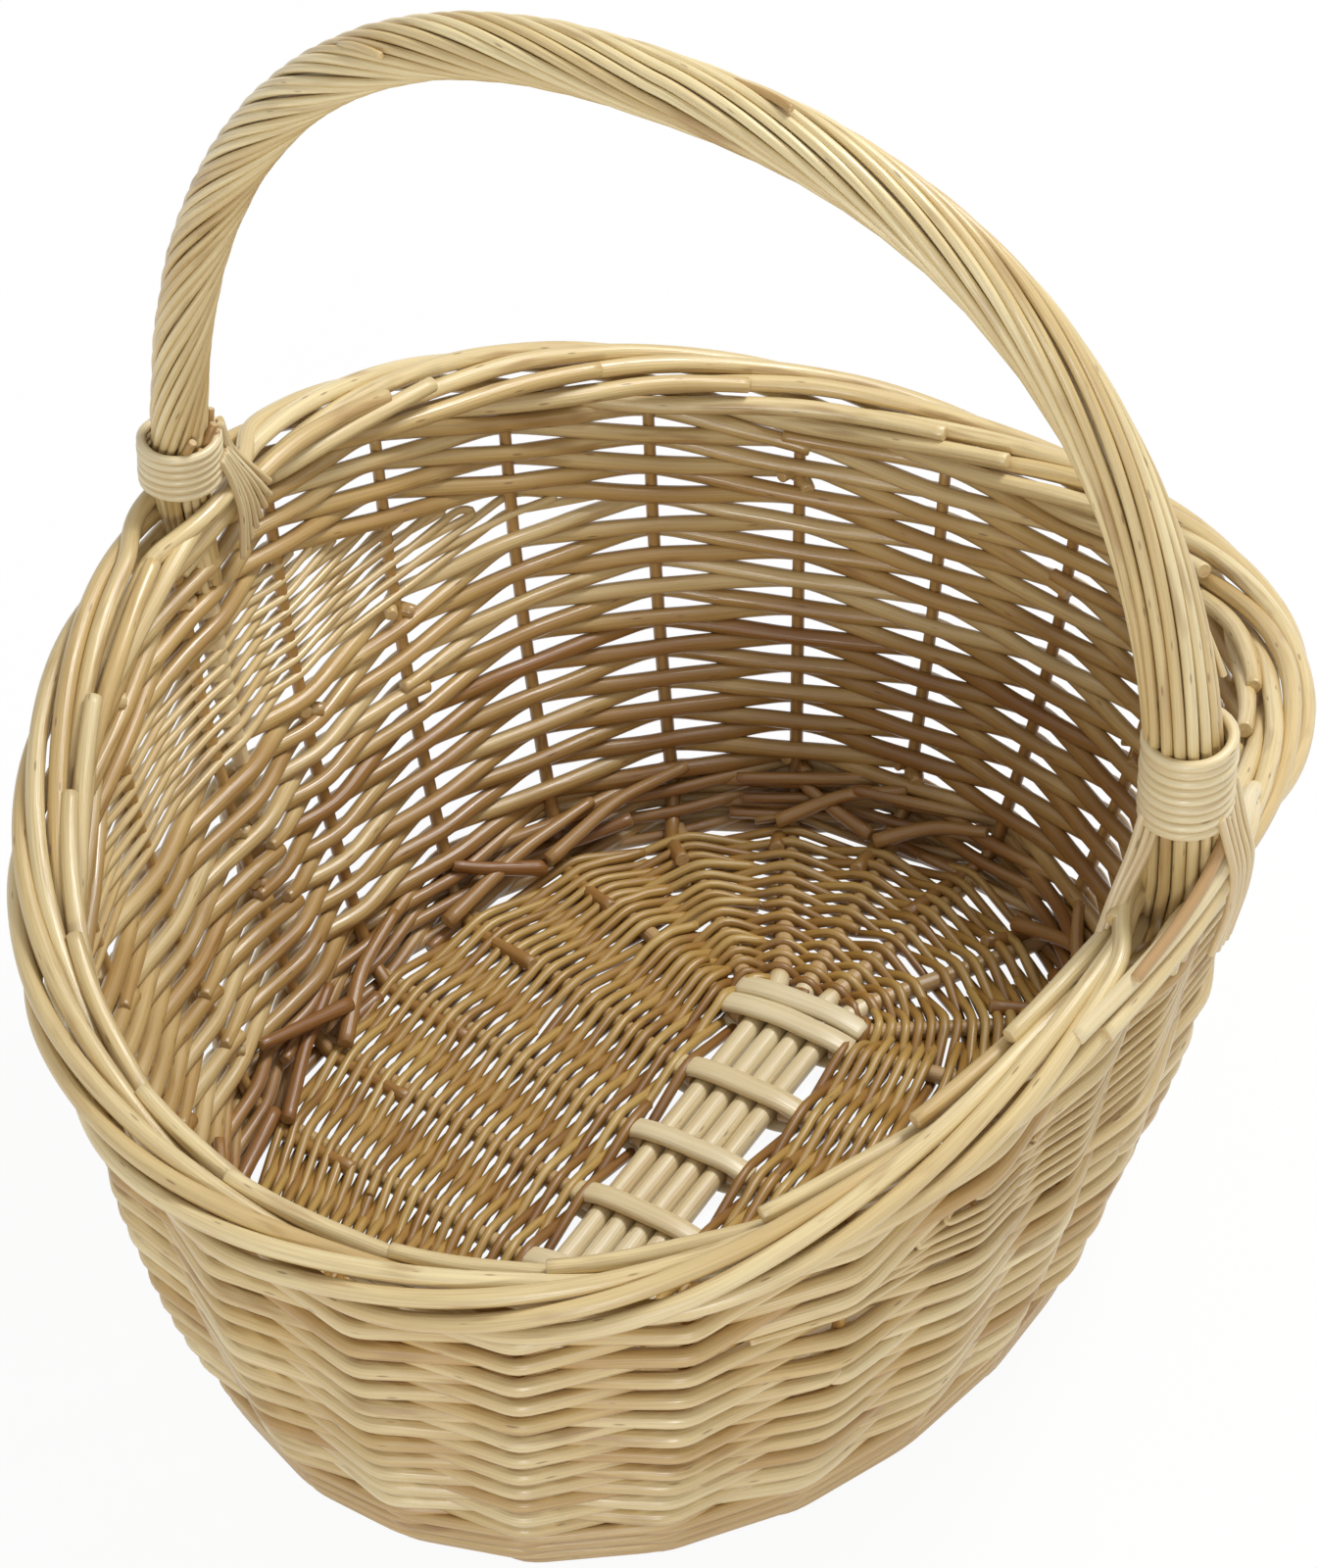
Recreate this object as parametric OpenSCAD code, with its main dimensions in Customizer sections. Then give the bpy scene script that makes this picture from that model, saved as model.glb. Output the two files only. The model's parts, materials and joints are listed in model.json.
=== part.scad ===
// Woven willow basket with a roped bow handle.
// Z is up. X runs along the oval base and the handle stands in the plane X = 0.
// The basket rests on the flat undersides of its short base sticks, at Z = 0.

/* [Rim] */
// Length over the border
rim_l = 400; // [370:5:440]
// Width over the border
rim_w = 334; // [310:2:360]
// Height of the middle of the border, averaged round the rim
rim_h = 154; // [146:2:190]
// How far the border sways down at the ends and up at the sides
rim_sway = 18.5; // [0:0.5:20]
// Extra rise of the border at each foot of the handle
foot_rise = 14; // [0:1:18]

/* [Base] */
// Length of the base over its outer edge
base_l = 322; // [300:2:340]
// Width of the base over its outer edge
base_w = 243; // [225:1:260]
// Thickness of a long base stick
stick_d = 6.8; // [6:0.2:6.8]
// Rounds of pairing that fill the base
base_rounds = 13; // [8:1:13]

/* [Siding] */
// Rows of plain weave between the foot and the border
siding_rows = 24; // [16:1:24]
// Thickness of a siding rod
siding_d = 4.2; // [3:0.1:4.2]
// Thickness of a side stake
stake_d = 4.6; // [4:0.1:5]
// How much the sides belly out below the rim
belly = 0.65; // [0:0.05:0.8]

/* [Handle] */
// Height of the whole basket over the handle
handle_h = 404; // [380:2:440]
// Thickness of the bow inside the roping
bow_d = 12; // [11:0.5:13]
// Rods roped round the bow
roping_rods = 14; // [10:1:14]
// Thickness of a roping rod
roping_d = 2.4; // [2:0.1:2.4]

/* [Hidden] */
// Long sticks through the base, and single short sticks across it.
// Two more short sticks lie together at each end of the cross.
LONG_STICKS = 4;
SINGLE_STICKS = 4;
SHORT_STICKS = SINGLE_STICKS + 4;
// One side stake stands at each end of every base stick.
STAKES = 2 * (LONG_STICKS + SHORT_STICKS);
// The first stake stands this part of a gap past the X axis.
STAKE_PHASE = 0.25;

// Outlines are superellipses: 2 is an ellipse, more is squarer.
RIM_CURVE = 2.2;
BASE_CURVE = 2.05;
HANDLE_CURVE = 2.38;
BORDER_W = 22;
BORDER_HIGH = 18;
BORDER_D = 4.4;
// The rise at a foot of the handle fades over about this many degrees.
FOOT_SPREAD = 26;

// Half axes of the middle of the wall, under the border and at the base.
WALL_INSET = 14;
top_a = rim_l / 2 - WALL_INSET;
top_b = rim_w / 2 - WALL_INSET;
low_a = base_l / 2 - 6;
low_b = base_w / 2 - 6;

// Levels from the floor up.
stick_z = 6.7;
SPLIT_T = 3.2;
FOOT_Z = 4;
wale_z = [0.9, 7.6, 14.2];
siding_z0 = 20.5;

PAIR_D = 2.3;
WALE_D = 3.2;
LONG_PITCH = 7;
SHORT_PITCH = 29.7;
// The cross of sticks lies a little off the middle, and its end pairs are spaced to suit.
CROSS_X = -11.5;
CROSS_Y = -5;
FAR_PAIR = 34.3;
NEAR_PAIR = 23;
CROSS_PAST = 6;
SHORT_SPLIT_W = 7;
SPLIT_PAST = 3;
PAIR_PITCH = 8.4;
slath_half = LONG_PITCH * LONG_STICKS / 2;

STRAW = [0.85, 0.74, 0.52];
TAN = [0.74, 0.58, 0.36];
PALE = [0.88, 0.82, 0.62];
UMBER = [0.58, 0.41, 0.24];

// ---------- curves ----------

function signed_pow(v, p) = sign(v) * pow(abs(v), p);

// A point of the superellipse of half axes a, b at the parameter angle t.
function oval(t, a, b, curve) =
    [a * signed_pow(cos(t), 2 / curve), b * signed_pow(sin(t), 2 / curve)];

// The outward direction of an oval there, taken from two points close by.
function outward(t, a, b, curve) =
    let (d = oval(t + 0.5, a, b, curve) - oval(t - 0.5, a, b, curve))
    [d[1], -d[0]] / norm(d);

function mix(a, b, f) = a * (1 - f) + b * f;

// How many degrees the angle t is from the nearer foot of the handle.
function from_handle(t) = acos(min(1, abs(sin(t))));

// Height of the middle of the border: low at the ends, high at the handle.
function rim_z(t) =
    let (u = pow(abs(cos(t)), 4 / RIM_CURVE) - pow(abs(sin(t)), 4 / RIM_CURVE))
    rim_h - rim_sway * u + foot_rise * exp(-pow(from_handle(t) / FOOT_SPREAD, 2));

// The wall's middle at angle t, part u of the way up, pushed out by off.
function wall(t, u, off) =
    let (g = u + belly * u * (1 - u))
    let (a = mix(low_a, top_a, g), b = mix(low_b, top_b, g), c = mix(BASE_CURVE, RIM_CURVE, g))
    let (p = oval(t, a, b, c) + off * outward(t, a, b, c))
    [p[0], p[1], mix(FOOT_Z, rim_z(t) - BORDER_HIGH / 2, u)];

// The same, by height instead of by part of the way up.
function wall_at(t, z, off) =
    let (u = (z - FOOT_Z) / (rim_z(t) - BORDER_HIGH / 2 - FOOT_Z))
    wall(t, u, off);

// Angles that part the rim into STAKES equal lengths.
ARC_STEP = 2;
ARC_TABLE = [
    for (
        t = 0, s = 0;
        t <= 360;
        s = s + norm(oval(t + ARC_STEP, top_a, top_b, RIM_CURVE) - oval(t, top_a, top_b, RIM_CURVE)),
        t = t + ARC_STEP
    ) [s, t]
];
rim_length = ARC_TABLE[len(ARC_TABLE) - 1][0];
function stake_t(i) =
    let (turns = floor((i + STAKE_PHASE) / STAKES), rest = (i + STAKE_PHASE) / STAKES - turns)
    360 * turns + lookup(rest * rim_length, ARC_TABLE);

// ---------- rods ----------

// One ring of a rod at p, square to its direction, with a flat facing ref.
// Its corners stand out so far that it has the area of a circle of radius r.
function ring(p, direction, ref, r, sides) =
    let (along = direction / norm(direction))
    let (across = cross(along, ref), side = across / norm(across), up = cross(side, along))
    let (corner = r * sqrt(2 * PI / (sides * sin(360 / sides))))
    [for (k = [0 : sides - 1])
        let (q = 360 * (k + 0.5) / sides)
        p + corner * (cos(q) * side + sin(q) * up)];

function way(path, i, closed) =
    let (n = len(path))
    closed
        ? path[(i + 1) % n] - path[(i + n - 1) % n]
        : path[min(i + 1, n - 1)] - path[max(i - 1, 0)];

// A rod along path. Its radius goes from r0 to r1, or is a list with one for each point.
// ref is a direction across the rod, or a list of them.
module rod(path, r0, r1 = 0, sides = 6, ref = [0, 0, 1], closed = false) {
    n = len(path);
    last = closed ? n : n - 1;
    radii = is_list(r0) ? r0 : [for (i = [0 : n - 1]) mix(r0, r1, i / (n - 1))];
    refs = is_list(ref[0]) ? ref : [for (p = path) ref];
    rings = [for (i = [0 : n - 1]) ring(path[i], way(path, i, closed), refs[i], radii[i], sides)];
    points = [for (r = rings) each r];
    skin = [for (i = [0 : last - 1], k = [0 : sides - 1])
        let (a = i * sides, b = ((i + 1) % n) * sides, m = (k + 1) % sides)
        [a + k, a + m, b + m, b + k]];
    start_cap = [for (k = [sides - 1 : -1 : 0]) k];
    end_cap = [for (k = [0 : sides - 1]) (n - 1) * sides + k];
    polyhedron(points, closed ? skin : concat(skin, [start_cap, end_cap]));
}

// ---------- base ----------

// Where short stick k crosses the long ones: four singles between two pairs.
function short_x(k) =
    let (single = min(max(k, 2), SHORT_STICKS - 3))
    let (x = (SHORT_STICKS / 2 - 0.5 - single) * SHORT_PITCH + CROSS_X)
    k < 2 ? x + FAR_PAIR + (0.5 - k) * PAIR_PITCH
    : k > SHORT_STICKS - 3 ? x - NEAR_PAIR + (SHORT_STICKS - 1.5 - k) * PAIR_PITCH
    : x;
function long_y(j) = (j - LONG_STICKS / 2 + 0.5) * LONG_PITCH + CROSS_Y;
far_end_x = short_x(0) + CROSS_PAST;
near_end_x = short_x(SHORT_STICKS - 1) - CROSS_PAST;

// The base stick that ends at stake i: its last point in the cross.
function arm_start(i) =
    i < LONG_STICKS / 2 ? [far_end_x, long_y(i + LONG_STICKS / 2)]
    : i < LONG_STICKS / 2 + SHORT_STICKS ? [short_x(i - LONG_STICKS / 2), CROSS_Y + slath_half + SPLIT_PAST]
    : i < STAKES / 2 + LONG_STICKS / 2 ? [near_end_x, long_y(STAKES / 2 + 1 - i)]
    : i < STAKES - LONG_STICKS / 2 ? [short_x(STAKES - 3 - i), CROSS_Y - slath_half - SPLIT_PAST]
    : [far_end_x, long_y(i - STAKES + LONG_STICKS / 2)];
function arm_end(i) = oval(stake_t(i), low_a - 3, low_b - 3, BASE_CURVE);
function arm(i, f) = let (p = mix(arm_start(i), arm_end(i), f)) [p[0], p[1], stick_z];
function lift(p, z) = [p[0], p[1], p[2] + z];

ARM_R = 3.6;
ARM_TIP_R = 2.6;

module long_stick(j) {
    near_end = STAKES / 2 + 1 - j;
    far_end = (j - LONG_STICKS / 2 + STAKES) % STAKES;
    rod([arm(near_end, 1), arm(near_end, 0), arm(far_end, 0), arm(far_end, 1)],
        stick_d / 2, stick_d / 2, 8);
}

module short_stick(k) {
    left = k + LONG_STICKS / 2;
    right = STAKES - 3 - k;
    split_h = 2 * stick_z;
    hole = [SHORT_SPLIT_W + 2, 2 * slath_half + 0.4, split_h - 2 * SPLIT_T];
    translate([short_x(k), CROSS_Y, stick_z])
        difference() {
            cube([SHORT_SPLIT_W, 2 * (slath_half + SPLIT_PAST + 2), split_h], center = true);
            cube(hole, center = true);
        }
    for (i = [left, right])
        rod([arm(i, 0.01), arm(i, 1)], ARM_R, ARM_TIP_R, 8);
}

module long_sticks()
    color(PALE)
        for (j = [0 : LONG_STICKS - 1])
            long_stick(j);

module short_sticks()
    color(PALE)
        for (k = [0 : SHORT_STICKS - 1])
            short_stick(k);

// One round of pairing: two rods that pass the sticks on opposite sides.
module pairing_round(round)
    for (strand = [0, 1]) {
        f = (round + 0.35 + strand / 2) / base_rounds;
        weave = mix(ARM_R, ARM_TIP_R, f) + PAIR_D / 2;
        rod([for (i = [0 : STAKES - 1]) lift(arm(i, f), (i + strand) % 2 == 0 ? weave : -weave)],
            PAIR_D / 2, PAIR_D / 2, 4, closed = true);
    }

module base_pairing_inner()
    color(STRAW)
        for (round = [0 : floor(base_rounds / 2) - 1])
            pairing_round(round);

module base_pairing_outer()
    color(STRAW)
        for (round = [floor(base_rounds / 2) : base_rounds - 1])
            pairing_round(round);

// ---------- sides ----------

// Each stake starts in the base beside its stick, turns up and leans out with the wall.
module side_stakes()
    color(TAN)
        for (i = [0 : STAKES - 1]) {
            t = stake_t(i);
            foot = wall(t, 0, 0);
            top = rim_z(t) - BORDER_HIGH / 2;
            rod([for (u = [0, 0.2, 0.45, 0.7, 1]) wall(t, u, 0)],
                stake_d / 2, stake_d / 2 * 0.9, 6, ref = [-foot[1], foot[0], 0]);
        }

// A wale strand runs outside two stakes and inside the third, lifting as it goes.
module wale_strand(z, strand, strands) {
    reach = stake_d / 2 + WALE_D / 2 + 0.1;
    rod([for (i = [0 : STAKES - 1])
            let (step = (i + strand) % strands)
            let (off = step == 0 ? -reach : reach)
            let (climb = step == 0 ? 0 : (step / (strands - 1) * 2 - 1.5) * WALE_D)
            wall_at(stake_t(i), z + climb, off)],
        WALE_D / 2, WALE_D / 2, 4, closed = true);
}

module foot_wale()
    color(UMBER)
        for (strand = [0 : 3])
            wale_strand(wale_z[0] + WALE_D, strand, 4);

module upsett_wale()
    color(UMBER)
        for (level = [1, 2], strand = [0 : 2])
            wale_strand(wale_z[level] + WALE_D, strand, 3);

// A thin packing rod goes back and forth to fill the rise at each foot of the handle.
// Every pass reaches less far from the handle, in degrees, than the pass below it.
PACK_PASSES = 16;
PACK_D = 2.5;
PACK_PITCH = 2.75;
PACK_WIDE = 44;
PACK_NARROW = 12;
pack_after = round(siding_rows * 0.75);
function pack_reach(pass) = mix(PACK_WIDE, PACK_NARROW, (pass - 1) / (PACK_PASSES - 1));
function pack_high(t) =
    PACK_PITCH * len([for (pass = [1 : PACK_PASSES]) if (pack_reach(pass) > from_handle(t)) pass]);
function row_pitch(t) =
    (rim_z(t) - BORDER_HIGH / 2 - siding_z0 - pack_high(t)) / siding_rows;
function row_z(t, row) =
    siding_z0 + (row - 0.5) * row_pitch(t) + (row > pack_after ? pack_high(t) : 0);
function pass_z(t, pass) = siding_z0 + pack_after * row_pitch(t) + (pass - 0.5) * PACK_PITCH;

// The posts that a siding rod passes: [angle, its side for row 0, half its thickness].
// Each foot of the handle goes down beside the nearest stake, on the same side.
LEG_R = 3.4;
POSTS = [
    for (i = [0 : STAKES - 1]) each concat(
        i == STAKES / 4 || i == 3 * STAKES / 4 ? [[360 * i / STAKES, i % 2, LEG_R]] : [],
        [[stake_t(i), i % 2, stake_d / 2]]
    )
];
// The middle of a rod of thickness d at height z, on the side of a post that turn gives.
function beside(post, z, d, turn) =
    let (side = (post[1] + turn) % 2 == 0 ? 1 : -1)
    wall_at(post[0], z, side * (post[2] + d / 2 + 0.1));

module siding_row(row)
    color(row % 5 == 0 ? TAN : STRAW)
        rod([for (post = POSTS) beside(post, row_z(post[0], row), siding_d, row)],
            siding_d / 2, siding_d / 2, 4, closed = true);

module packing(middle)
    color(STRAW)
        for (pass = [1 : PACK_PASSES]) {
            reached = [for (post = POSTS) if (abs(post[0] - middle) < pack_reach(pass)) post];
            turn = pack_after + pass;
            rod([for (post = reached) beside(post, pass_z(post[0], pass), PACK_D, turn)],
                PACK_D / 2, PACK_D / 2, 4);
        }

module packing_left() packing(90);
module packing_right() packing(270);

// ---------- border ----------

// The way of a stake's top through the border, as [stakes passed, out, up] from its middle:
// behind the next stake, over to the outside, in again under the others, up behind a
// fifth stake and over the top to a cut end.
BORDER_WAY = [
    [0, 0, -11], [0.3, -0.8, -6.2], [1, -4.5, -1], [1.5, -3, 2.3], [2.2, 1.8, 3.1],
    [3, 6.5, 1.5], [3.6, 8.3, -1.6], [4.2, 6.7, -5.3], [4.6, 2.5, -7.2], [5, -4.8, -6.6],
    [5.5, -8.2, -2.2], [6, -7.8, 3.7], [6.5, -3.5, 8], [7.2, 3.8, 7.8]
];

// Beside the handle the rods part: those near the middle go round it and spread a little.
HANDLE_PART = 10.5;
PART_SPREAD = 8;
PARTED_OUT = 9.5;
PARTED_SPREAD = 0.6;
function border_point(i, step) =
    let (t = stake_t(i - step[0]))
    let (near = min(PARTED_OUT, HANDLE_PART * exp(-pow(from_handle(t) / PART_SPREAD, 2))))
    let (moved = step[1] == 0 ? 0 : max(0, near - abs(step[1])))
    let (out = step[1] + sign(step[1]) * moved)
    let (a = rim_l / 2 - BORDER_W / 2, b = rim_w / 2 - BORDER_W / 2)
    let (p = oval(t, a, b, RIM_CURVE) + out * outward(t, a, b, RIM_CURVE))
    [p[0], p[1], rim_z(t) + step[2] + sign(step[2]) * PARTED_SPREAD * moved];

module border_rods()
    color(STRAW)
        for (i = [0 : STAKES - 1])
            rod([for (step = BORDER_WAY) border_point(i, step)], BORDER_D / 2, BORDER_D / 2, 5);

// ---------- handle ----------

// The bow stands in the plane X = 0. It goes down the left wall, over and down the right.
BOW_HALF = rim_w / 2 - 10;
ROPED_R = bow_d / 2 + roping_d;
bow_foot_z = rim_z(90) + BORDER_HIGH / 2;
bow_top_z = handle_h - ROPED_R;
function arch(f) =
    let (p = oval(180 * f, BOW_HALF, bow_top_z - bow_foot_z, HANDLE_CURVE))
    [0, p[0], bow_foot_z + p[1]];
LEG_UP = [0.42, 0.7, 0.97];
ARCH_STEPS = 24;
function leg(u, side) = let (p = wall(90, u, 0)) [0, side * p[1], p[2]];

module handle_bow() {
    up = [for (u = LEG_UP) leg(u, 1)];
    over = [for (k = [0 : ARCH_STEPS]) arch(k / ARCH_STEPS)];
    down = [for (k = [len(LEG_UP) - 1 : -1 : 0]) leg(LEG_UP[k], -1)];
    taper = [LEG_R / 2, LEG_R, LEG_R];
    thick = [for (p = over) bow_d / 2];
    color(PALE)
        rod(concat(up, over, down), concat(taper, thick, [for (k = [2, 1, 0]) taper[k]]),
            sides = 8, ref = [1, 0, 0]);
}

// The roping winds tightly at the left foot and opens out towards the right one.
ROPING_TURNS = 2.7;
ROPING_EASE = 1.9;
ROPING_RINGS = 30;
ROPING_GATHER = 1.4;
function roping_out(rod_no, w) =
    let (f = pow(w, ROPING_GATHER), d = arch(min(1, f + 0.01)) - arch(max(0, f - 0.01)))
    let (along = d / norm(d), side = [1, 0, 0], up = cross(along, side))
    let (q = 360 * (rod_no / roping_rods + ROPING_TURNS * (1 - pow(1 - f, ROPING_EASE))))
    cos(q) * side + sin(q) * up;

module handle_roping()
    color(STRAW)
        for (k = [0 : roping_rods - 1]) {
            parts_done = [for (n = [0 : ROPING_RINGS]) n / ROPING_RINGS];
            out = [for (w = parts_done) roping_out(k, w)];
            rod([for (n = [0 : ROPING_RINGS])
                    arch(pow(parts_done[n], ROPING_GATHER)) + (bow_d + roping_d) / 2 * out[n]],
                roping_d / 2, roping_d / 2, 4, ref = out);
        }

// ---------- bindings ----------

BIND_D = 3.6;
BIND_TURNS = 5.5;
BIND_RINGS = 8;
bind_r = ROPED_R + BIND_D / 2;

// A flat-laid coil round the handle, just over the border.
module binding(side)
    color(PALE)
        rod([for (n = [0 : BIND_TURNS * BIND_RINGS])
                let (q = 360 * n / BIND_RINGS, z = bow_foot_z + 5 + n / BIND_RINGS * (BIND_D + 0.1))
                [bind_r * cos(q), side * BOW_HALF + bind_r * sin(q), z]],
            BIND_D / 2, BIND_D / 2, 4);

// Strands of the binding that cross the border to the wall: [along X, out from the bow, down].
TIE_WAYS = [
    [[2, -10, 4], [10, -14, -8], [19, -15, -24]],
    [[-3, -11, 4], [-9, -15, -8], [-13, -15, -24]],
    [[3, 11, 4], [8, 14, -8], [10, 10, -26]],
    [[-2, 11, 4], [-1, 14, -8], [1, 10, -26]]
];
module ties(side)
    color(PALE)
        for (way_out = TIE_WAYS)
            rod([for (p = way_out) [p[0], side * (BOW_HALF + p[1]), bow_foot_z + p[2]]],
                BIND_D / 2, BIND_D / 2 * 0.8, 5, ref = [1, 0, 0]);

module binding_left() binding(1);
module binding_right() binding(-1);
module ties_left() ties(1);
module ties_right() ties(-1);

// ---------- parts ----------

long_sticks();
short_sticks();
base_pairing_inner();
base_pairing_outer();
side_stakes();
foot_wale();
upsett_wale();
for (row = [1 : siding_rows])
    siding_row(row);
packing_left();
packing_right();
border_rods();
handle_bow();
handle_roping();
binding_left();
binding_right();
ties_left();
ties_right();
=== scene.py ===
# %% [markdown]
# # A willow basket, rod by rod
# The real basket is peeled willow, woven while it is damp and then left to dry. No
# glue and no panel holds it together: round rods pass in front of and behind each
# other and grip by bending. So the lesson makes every rod as a piece of its own, a
# round profile that is carried along a path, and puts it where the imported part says.

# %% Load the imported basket
import json
import math

import bpy
import numpy as np
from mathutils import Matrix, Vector


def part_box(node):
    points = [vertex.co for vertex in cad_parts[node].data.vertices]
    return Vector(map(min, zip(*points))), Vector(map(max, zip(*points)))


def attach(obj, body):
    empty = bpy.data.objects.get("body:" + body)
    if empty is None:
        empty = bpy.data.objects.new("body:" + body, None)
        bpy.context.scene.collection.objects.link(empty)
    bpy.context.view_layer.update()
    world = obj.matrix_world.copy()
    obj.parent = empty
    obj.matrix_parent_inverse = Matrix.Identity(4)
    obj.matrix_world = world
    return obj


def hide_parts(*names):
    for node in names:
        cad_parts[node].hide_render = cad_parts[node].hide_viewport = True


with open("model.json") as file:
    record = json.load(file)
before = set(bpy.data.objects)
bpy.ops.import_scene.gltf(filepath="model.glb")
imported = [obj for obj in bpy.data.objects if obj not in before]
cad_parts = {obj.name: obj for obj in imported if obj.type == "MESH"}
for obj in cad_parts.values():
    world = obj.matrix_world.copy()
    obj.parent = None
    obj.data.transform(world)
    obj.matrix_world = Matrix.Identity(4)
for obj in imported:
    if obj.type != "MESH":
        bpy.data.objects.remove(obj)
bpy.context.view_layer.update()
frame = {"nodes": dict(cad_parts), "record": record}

SLOT_OF = {part["node"]: part["material_slot"] for part in frame["record"]["subparts"]}
print("the packed basket holds", len(frame["nodes"]), "nodes")

# %% [markdown]
# ## Measures
# Baskets are made by measure, not by mould: a base, a rim, a height and the number of
# stakes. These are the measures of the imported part, in millimetres. A mesh is turned
# into metres only at the end, in the cell that makes a piece.

# %% The basket's measures
MM = 0.001
RIM_L, RIM_W, RIM_H = 400, 334, 154      # over the border, and its mean height
RIM_SWAY = 18.5                          # its dip at the ends and its rise at the sides
FOOT_RISE, FOOT_SPREAD = 14, 26          # its lift at the handle, and over how many degrees
BASE_L, BASE_W, BELLY = 322, 243, 0.65   # the base, and how soon the wall widens above it
RIM_CURVE, BASE_CURVE, HANDLE_CURVE = 2.2, 2.05, 2.38    # squareness: 2 is an ellipse
STAKES, STAKE_PHASE = 24, 0.25
LONG_STICKS, SHORT_STICKS = 4, 8
BORDER_W, BORDER_HIGH = 22, 18
STICK_Z, FOOT_Z, SIDING_Z0 = 6.7, 4, 20.5    # base sticks, foot of the wall, first row
SIDING_ROWS, BASE_ROUNDS = 24, 13
RIM_INSET, BASE_INSET = 14, 6            # from the outside to the middle of the stakes
TOP_A, TOP_B = RIM_L / 2 - RIM_INSET, RIM_W / 2 - RIM_INSET
LOW_A, LOW_B = BASE_L / 2 - BASE_INSET, BASE_W / 2 - BASE_INSET

rim_low, rim_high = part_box("border_rods")
print("border of the packed part:", [round(v, 3) for v in (*rim_low, *rim_high)])

# %% [markdown]
# ## The outline
# The rim and the base are ovals a little squarer than an ellipse, and the wall
# bellies out between them. One formula with a squareness power draws all of them.
# A spline through hand-placed points would also do, but a formula can be asked for
# the wall at any angle and height, which every rod below needs.

# %% Ovals and the wall
HALF_DEGREE = math.radians(0.5)


def mix(a, b, part):
    """a at part 0, b at part 1, in a straight line between."""
    return a + (b - a) * part


def signed_power(value, power):
    """The power of the size of value, with the sign of value kept."""
    return np.sign(value) * np.abs(value) ** power


def oval(t, a, b, curve):
    """x = a cos t and y = b sin t, each to the power 2 / curve with its sign kept."""
    x = a * signed_power(np.cos(t), 2 / curve)
    y = b * signed_power(np.sin(t), 2 / curve)
    return np.stack([x, y], -1)


def outward(t, a, b, curve):
    """The chord over one degree of the oval, a quarter turn clockwise, of length 1."""
    chord = oval(t + HALF_DEGREE, a, b, curve) - oval(t - HALF_DEGREE, a, b, curve)
    across = np.stack([chord[..., 1], -chord[..., 0]], -1)
    return across / np.linalg.norm(across, axis=-1, keepdims=True)


def from_handle(t):
    """Degrees from t to the nearer foot of the handle: arc cosine of |sin t|."""
    return np.degrees(np.arccos(np.minimum(1, np.abs(np.sin(t)))))


def rim_z(t):
    """Middle of the border: low at the ends, high at the sides, higher at the handle."""
    sway = np.abs(np.cos(t)) ** (4 / RIM_CURVE) - np.abs(np.sin(t)) ** (4 / RIM_CURVE)
    return RIM_H - RIM_SWAY * sway + FOOT_RISE * np.exp(-(from_handle(t) / FOOT_SPREAD) ** 2)


def wall(t, u, off):
    """The wall at angle t, part u of the way up, moved out by off.

    The half axes and the squareness go from base to rim by g = u + belly u (1 - u).
    """
    t, u, off = np.broadcast_arrays(*(np.asarray(v, float) for v in (t, u, off)))
    g = u + BELLY * u * (1 - u)
    a, b = mix(LOW_A, TOP_A, g), mix(LOW_B, TOP_B, g)
    curve = mix(BASE_CURVE, RIM_CURVE, g)
    plan = oval(t, a, b, curve) + off[..., None] * outward(t, a, b, curve)
    z = mix(FOOT_Z, rim_z(t) - BORDER_HIGH / 2, u)
    return np.concatenate([plan, z[..., None]], -1)


def wall_at(t, z, off):
    """The wall by height: u is the share of the way from the foot to the border."""
    return wall(t, (z - FOOT_Z) / (rim_z(t) - BORDER_HIGH / 2 - FOOT_Z), off)


print("rim height at an end and at the handle:", rim_z(0.0), rim_z(math.pi / 2))

# %% [markdown]
# ## Where the stakes stand
# The weaver spaces the stakes evenly by eye along the rim, not by angle. So the angle
# of a stake is read from a table of arc length against angle. A place between two
# stakes is a number with a fraction, and the table gives that too.

# %% Stakes and posts
ARC_T = np.radians(np.arange(0, 361, 2.0))
ARC_S = np.concatenate([[0], np.cumsum(np.linalg.norm(
    np.diff(oval(ARC_T, TOP_A, TOP_B, RIM_CURVE), axis=0), axis=1))])
GAP = ARC_S[-1] / STAKES


def stake_t(i):
    """The angle that lies (i + phase) / STAKES of the way round the rim."""
    turns = (np.asarray(i, float) + STAKE_PHASE) / STAKES
    whole = np.floor(turns)
    return 2 * math.pi * whole + np.interp((turns - whole) * ARC_S[-1], ARC_S, ARC_T)


# A post is what a siding rod passes: angle, side for row 0, half its thickness.
LEG_R, STAKE_R = 3.2, 1.8
POSTS = np.array(sorted(
    [(float(stake_t(i)), i % 2, STAKE_R) for i in range(STAKES)]
    + [(2 * math.pi * i / STAKES, i % 2, LEG_R) for i in (STAKES // 4, 3 * STAKES // 4)]))
print("stakes", STAKES, "at a spacing of", round(GAP, 1), "mm; posts", len(POSTS))

# %% [markdown]
# ## Rods
# A willow rod is round, tapers, is never quite straight and is cut off blunt. Blender's
# curves with a bevel could draw it, but a mesh from numpy keeps the distance along the
# rod and the place round it for the grain, and gives every rod a chamfered cut end.
# Two helpers do it all: one bends a path, and one carries the round profile along it.

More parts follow.
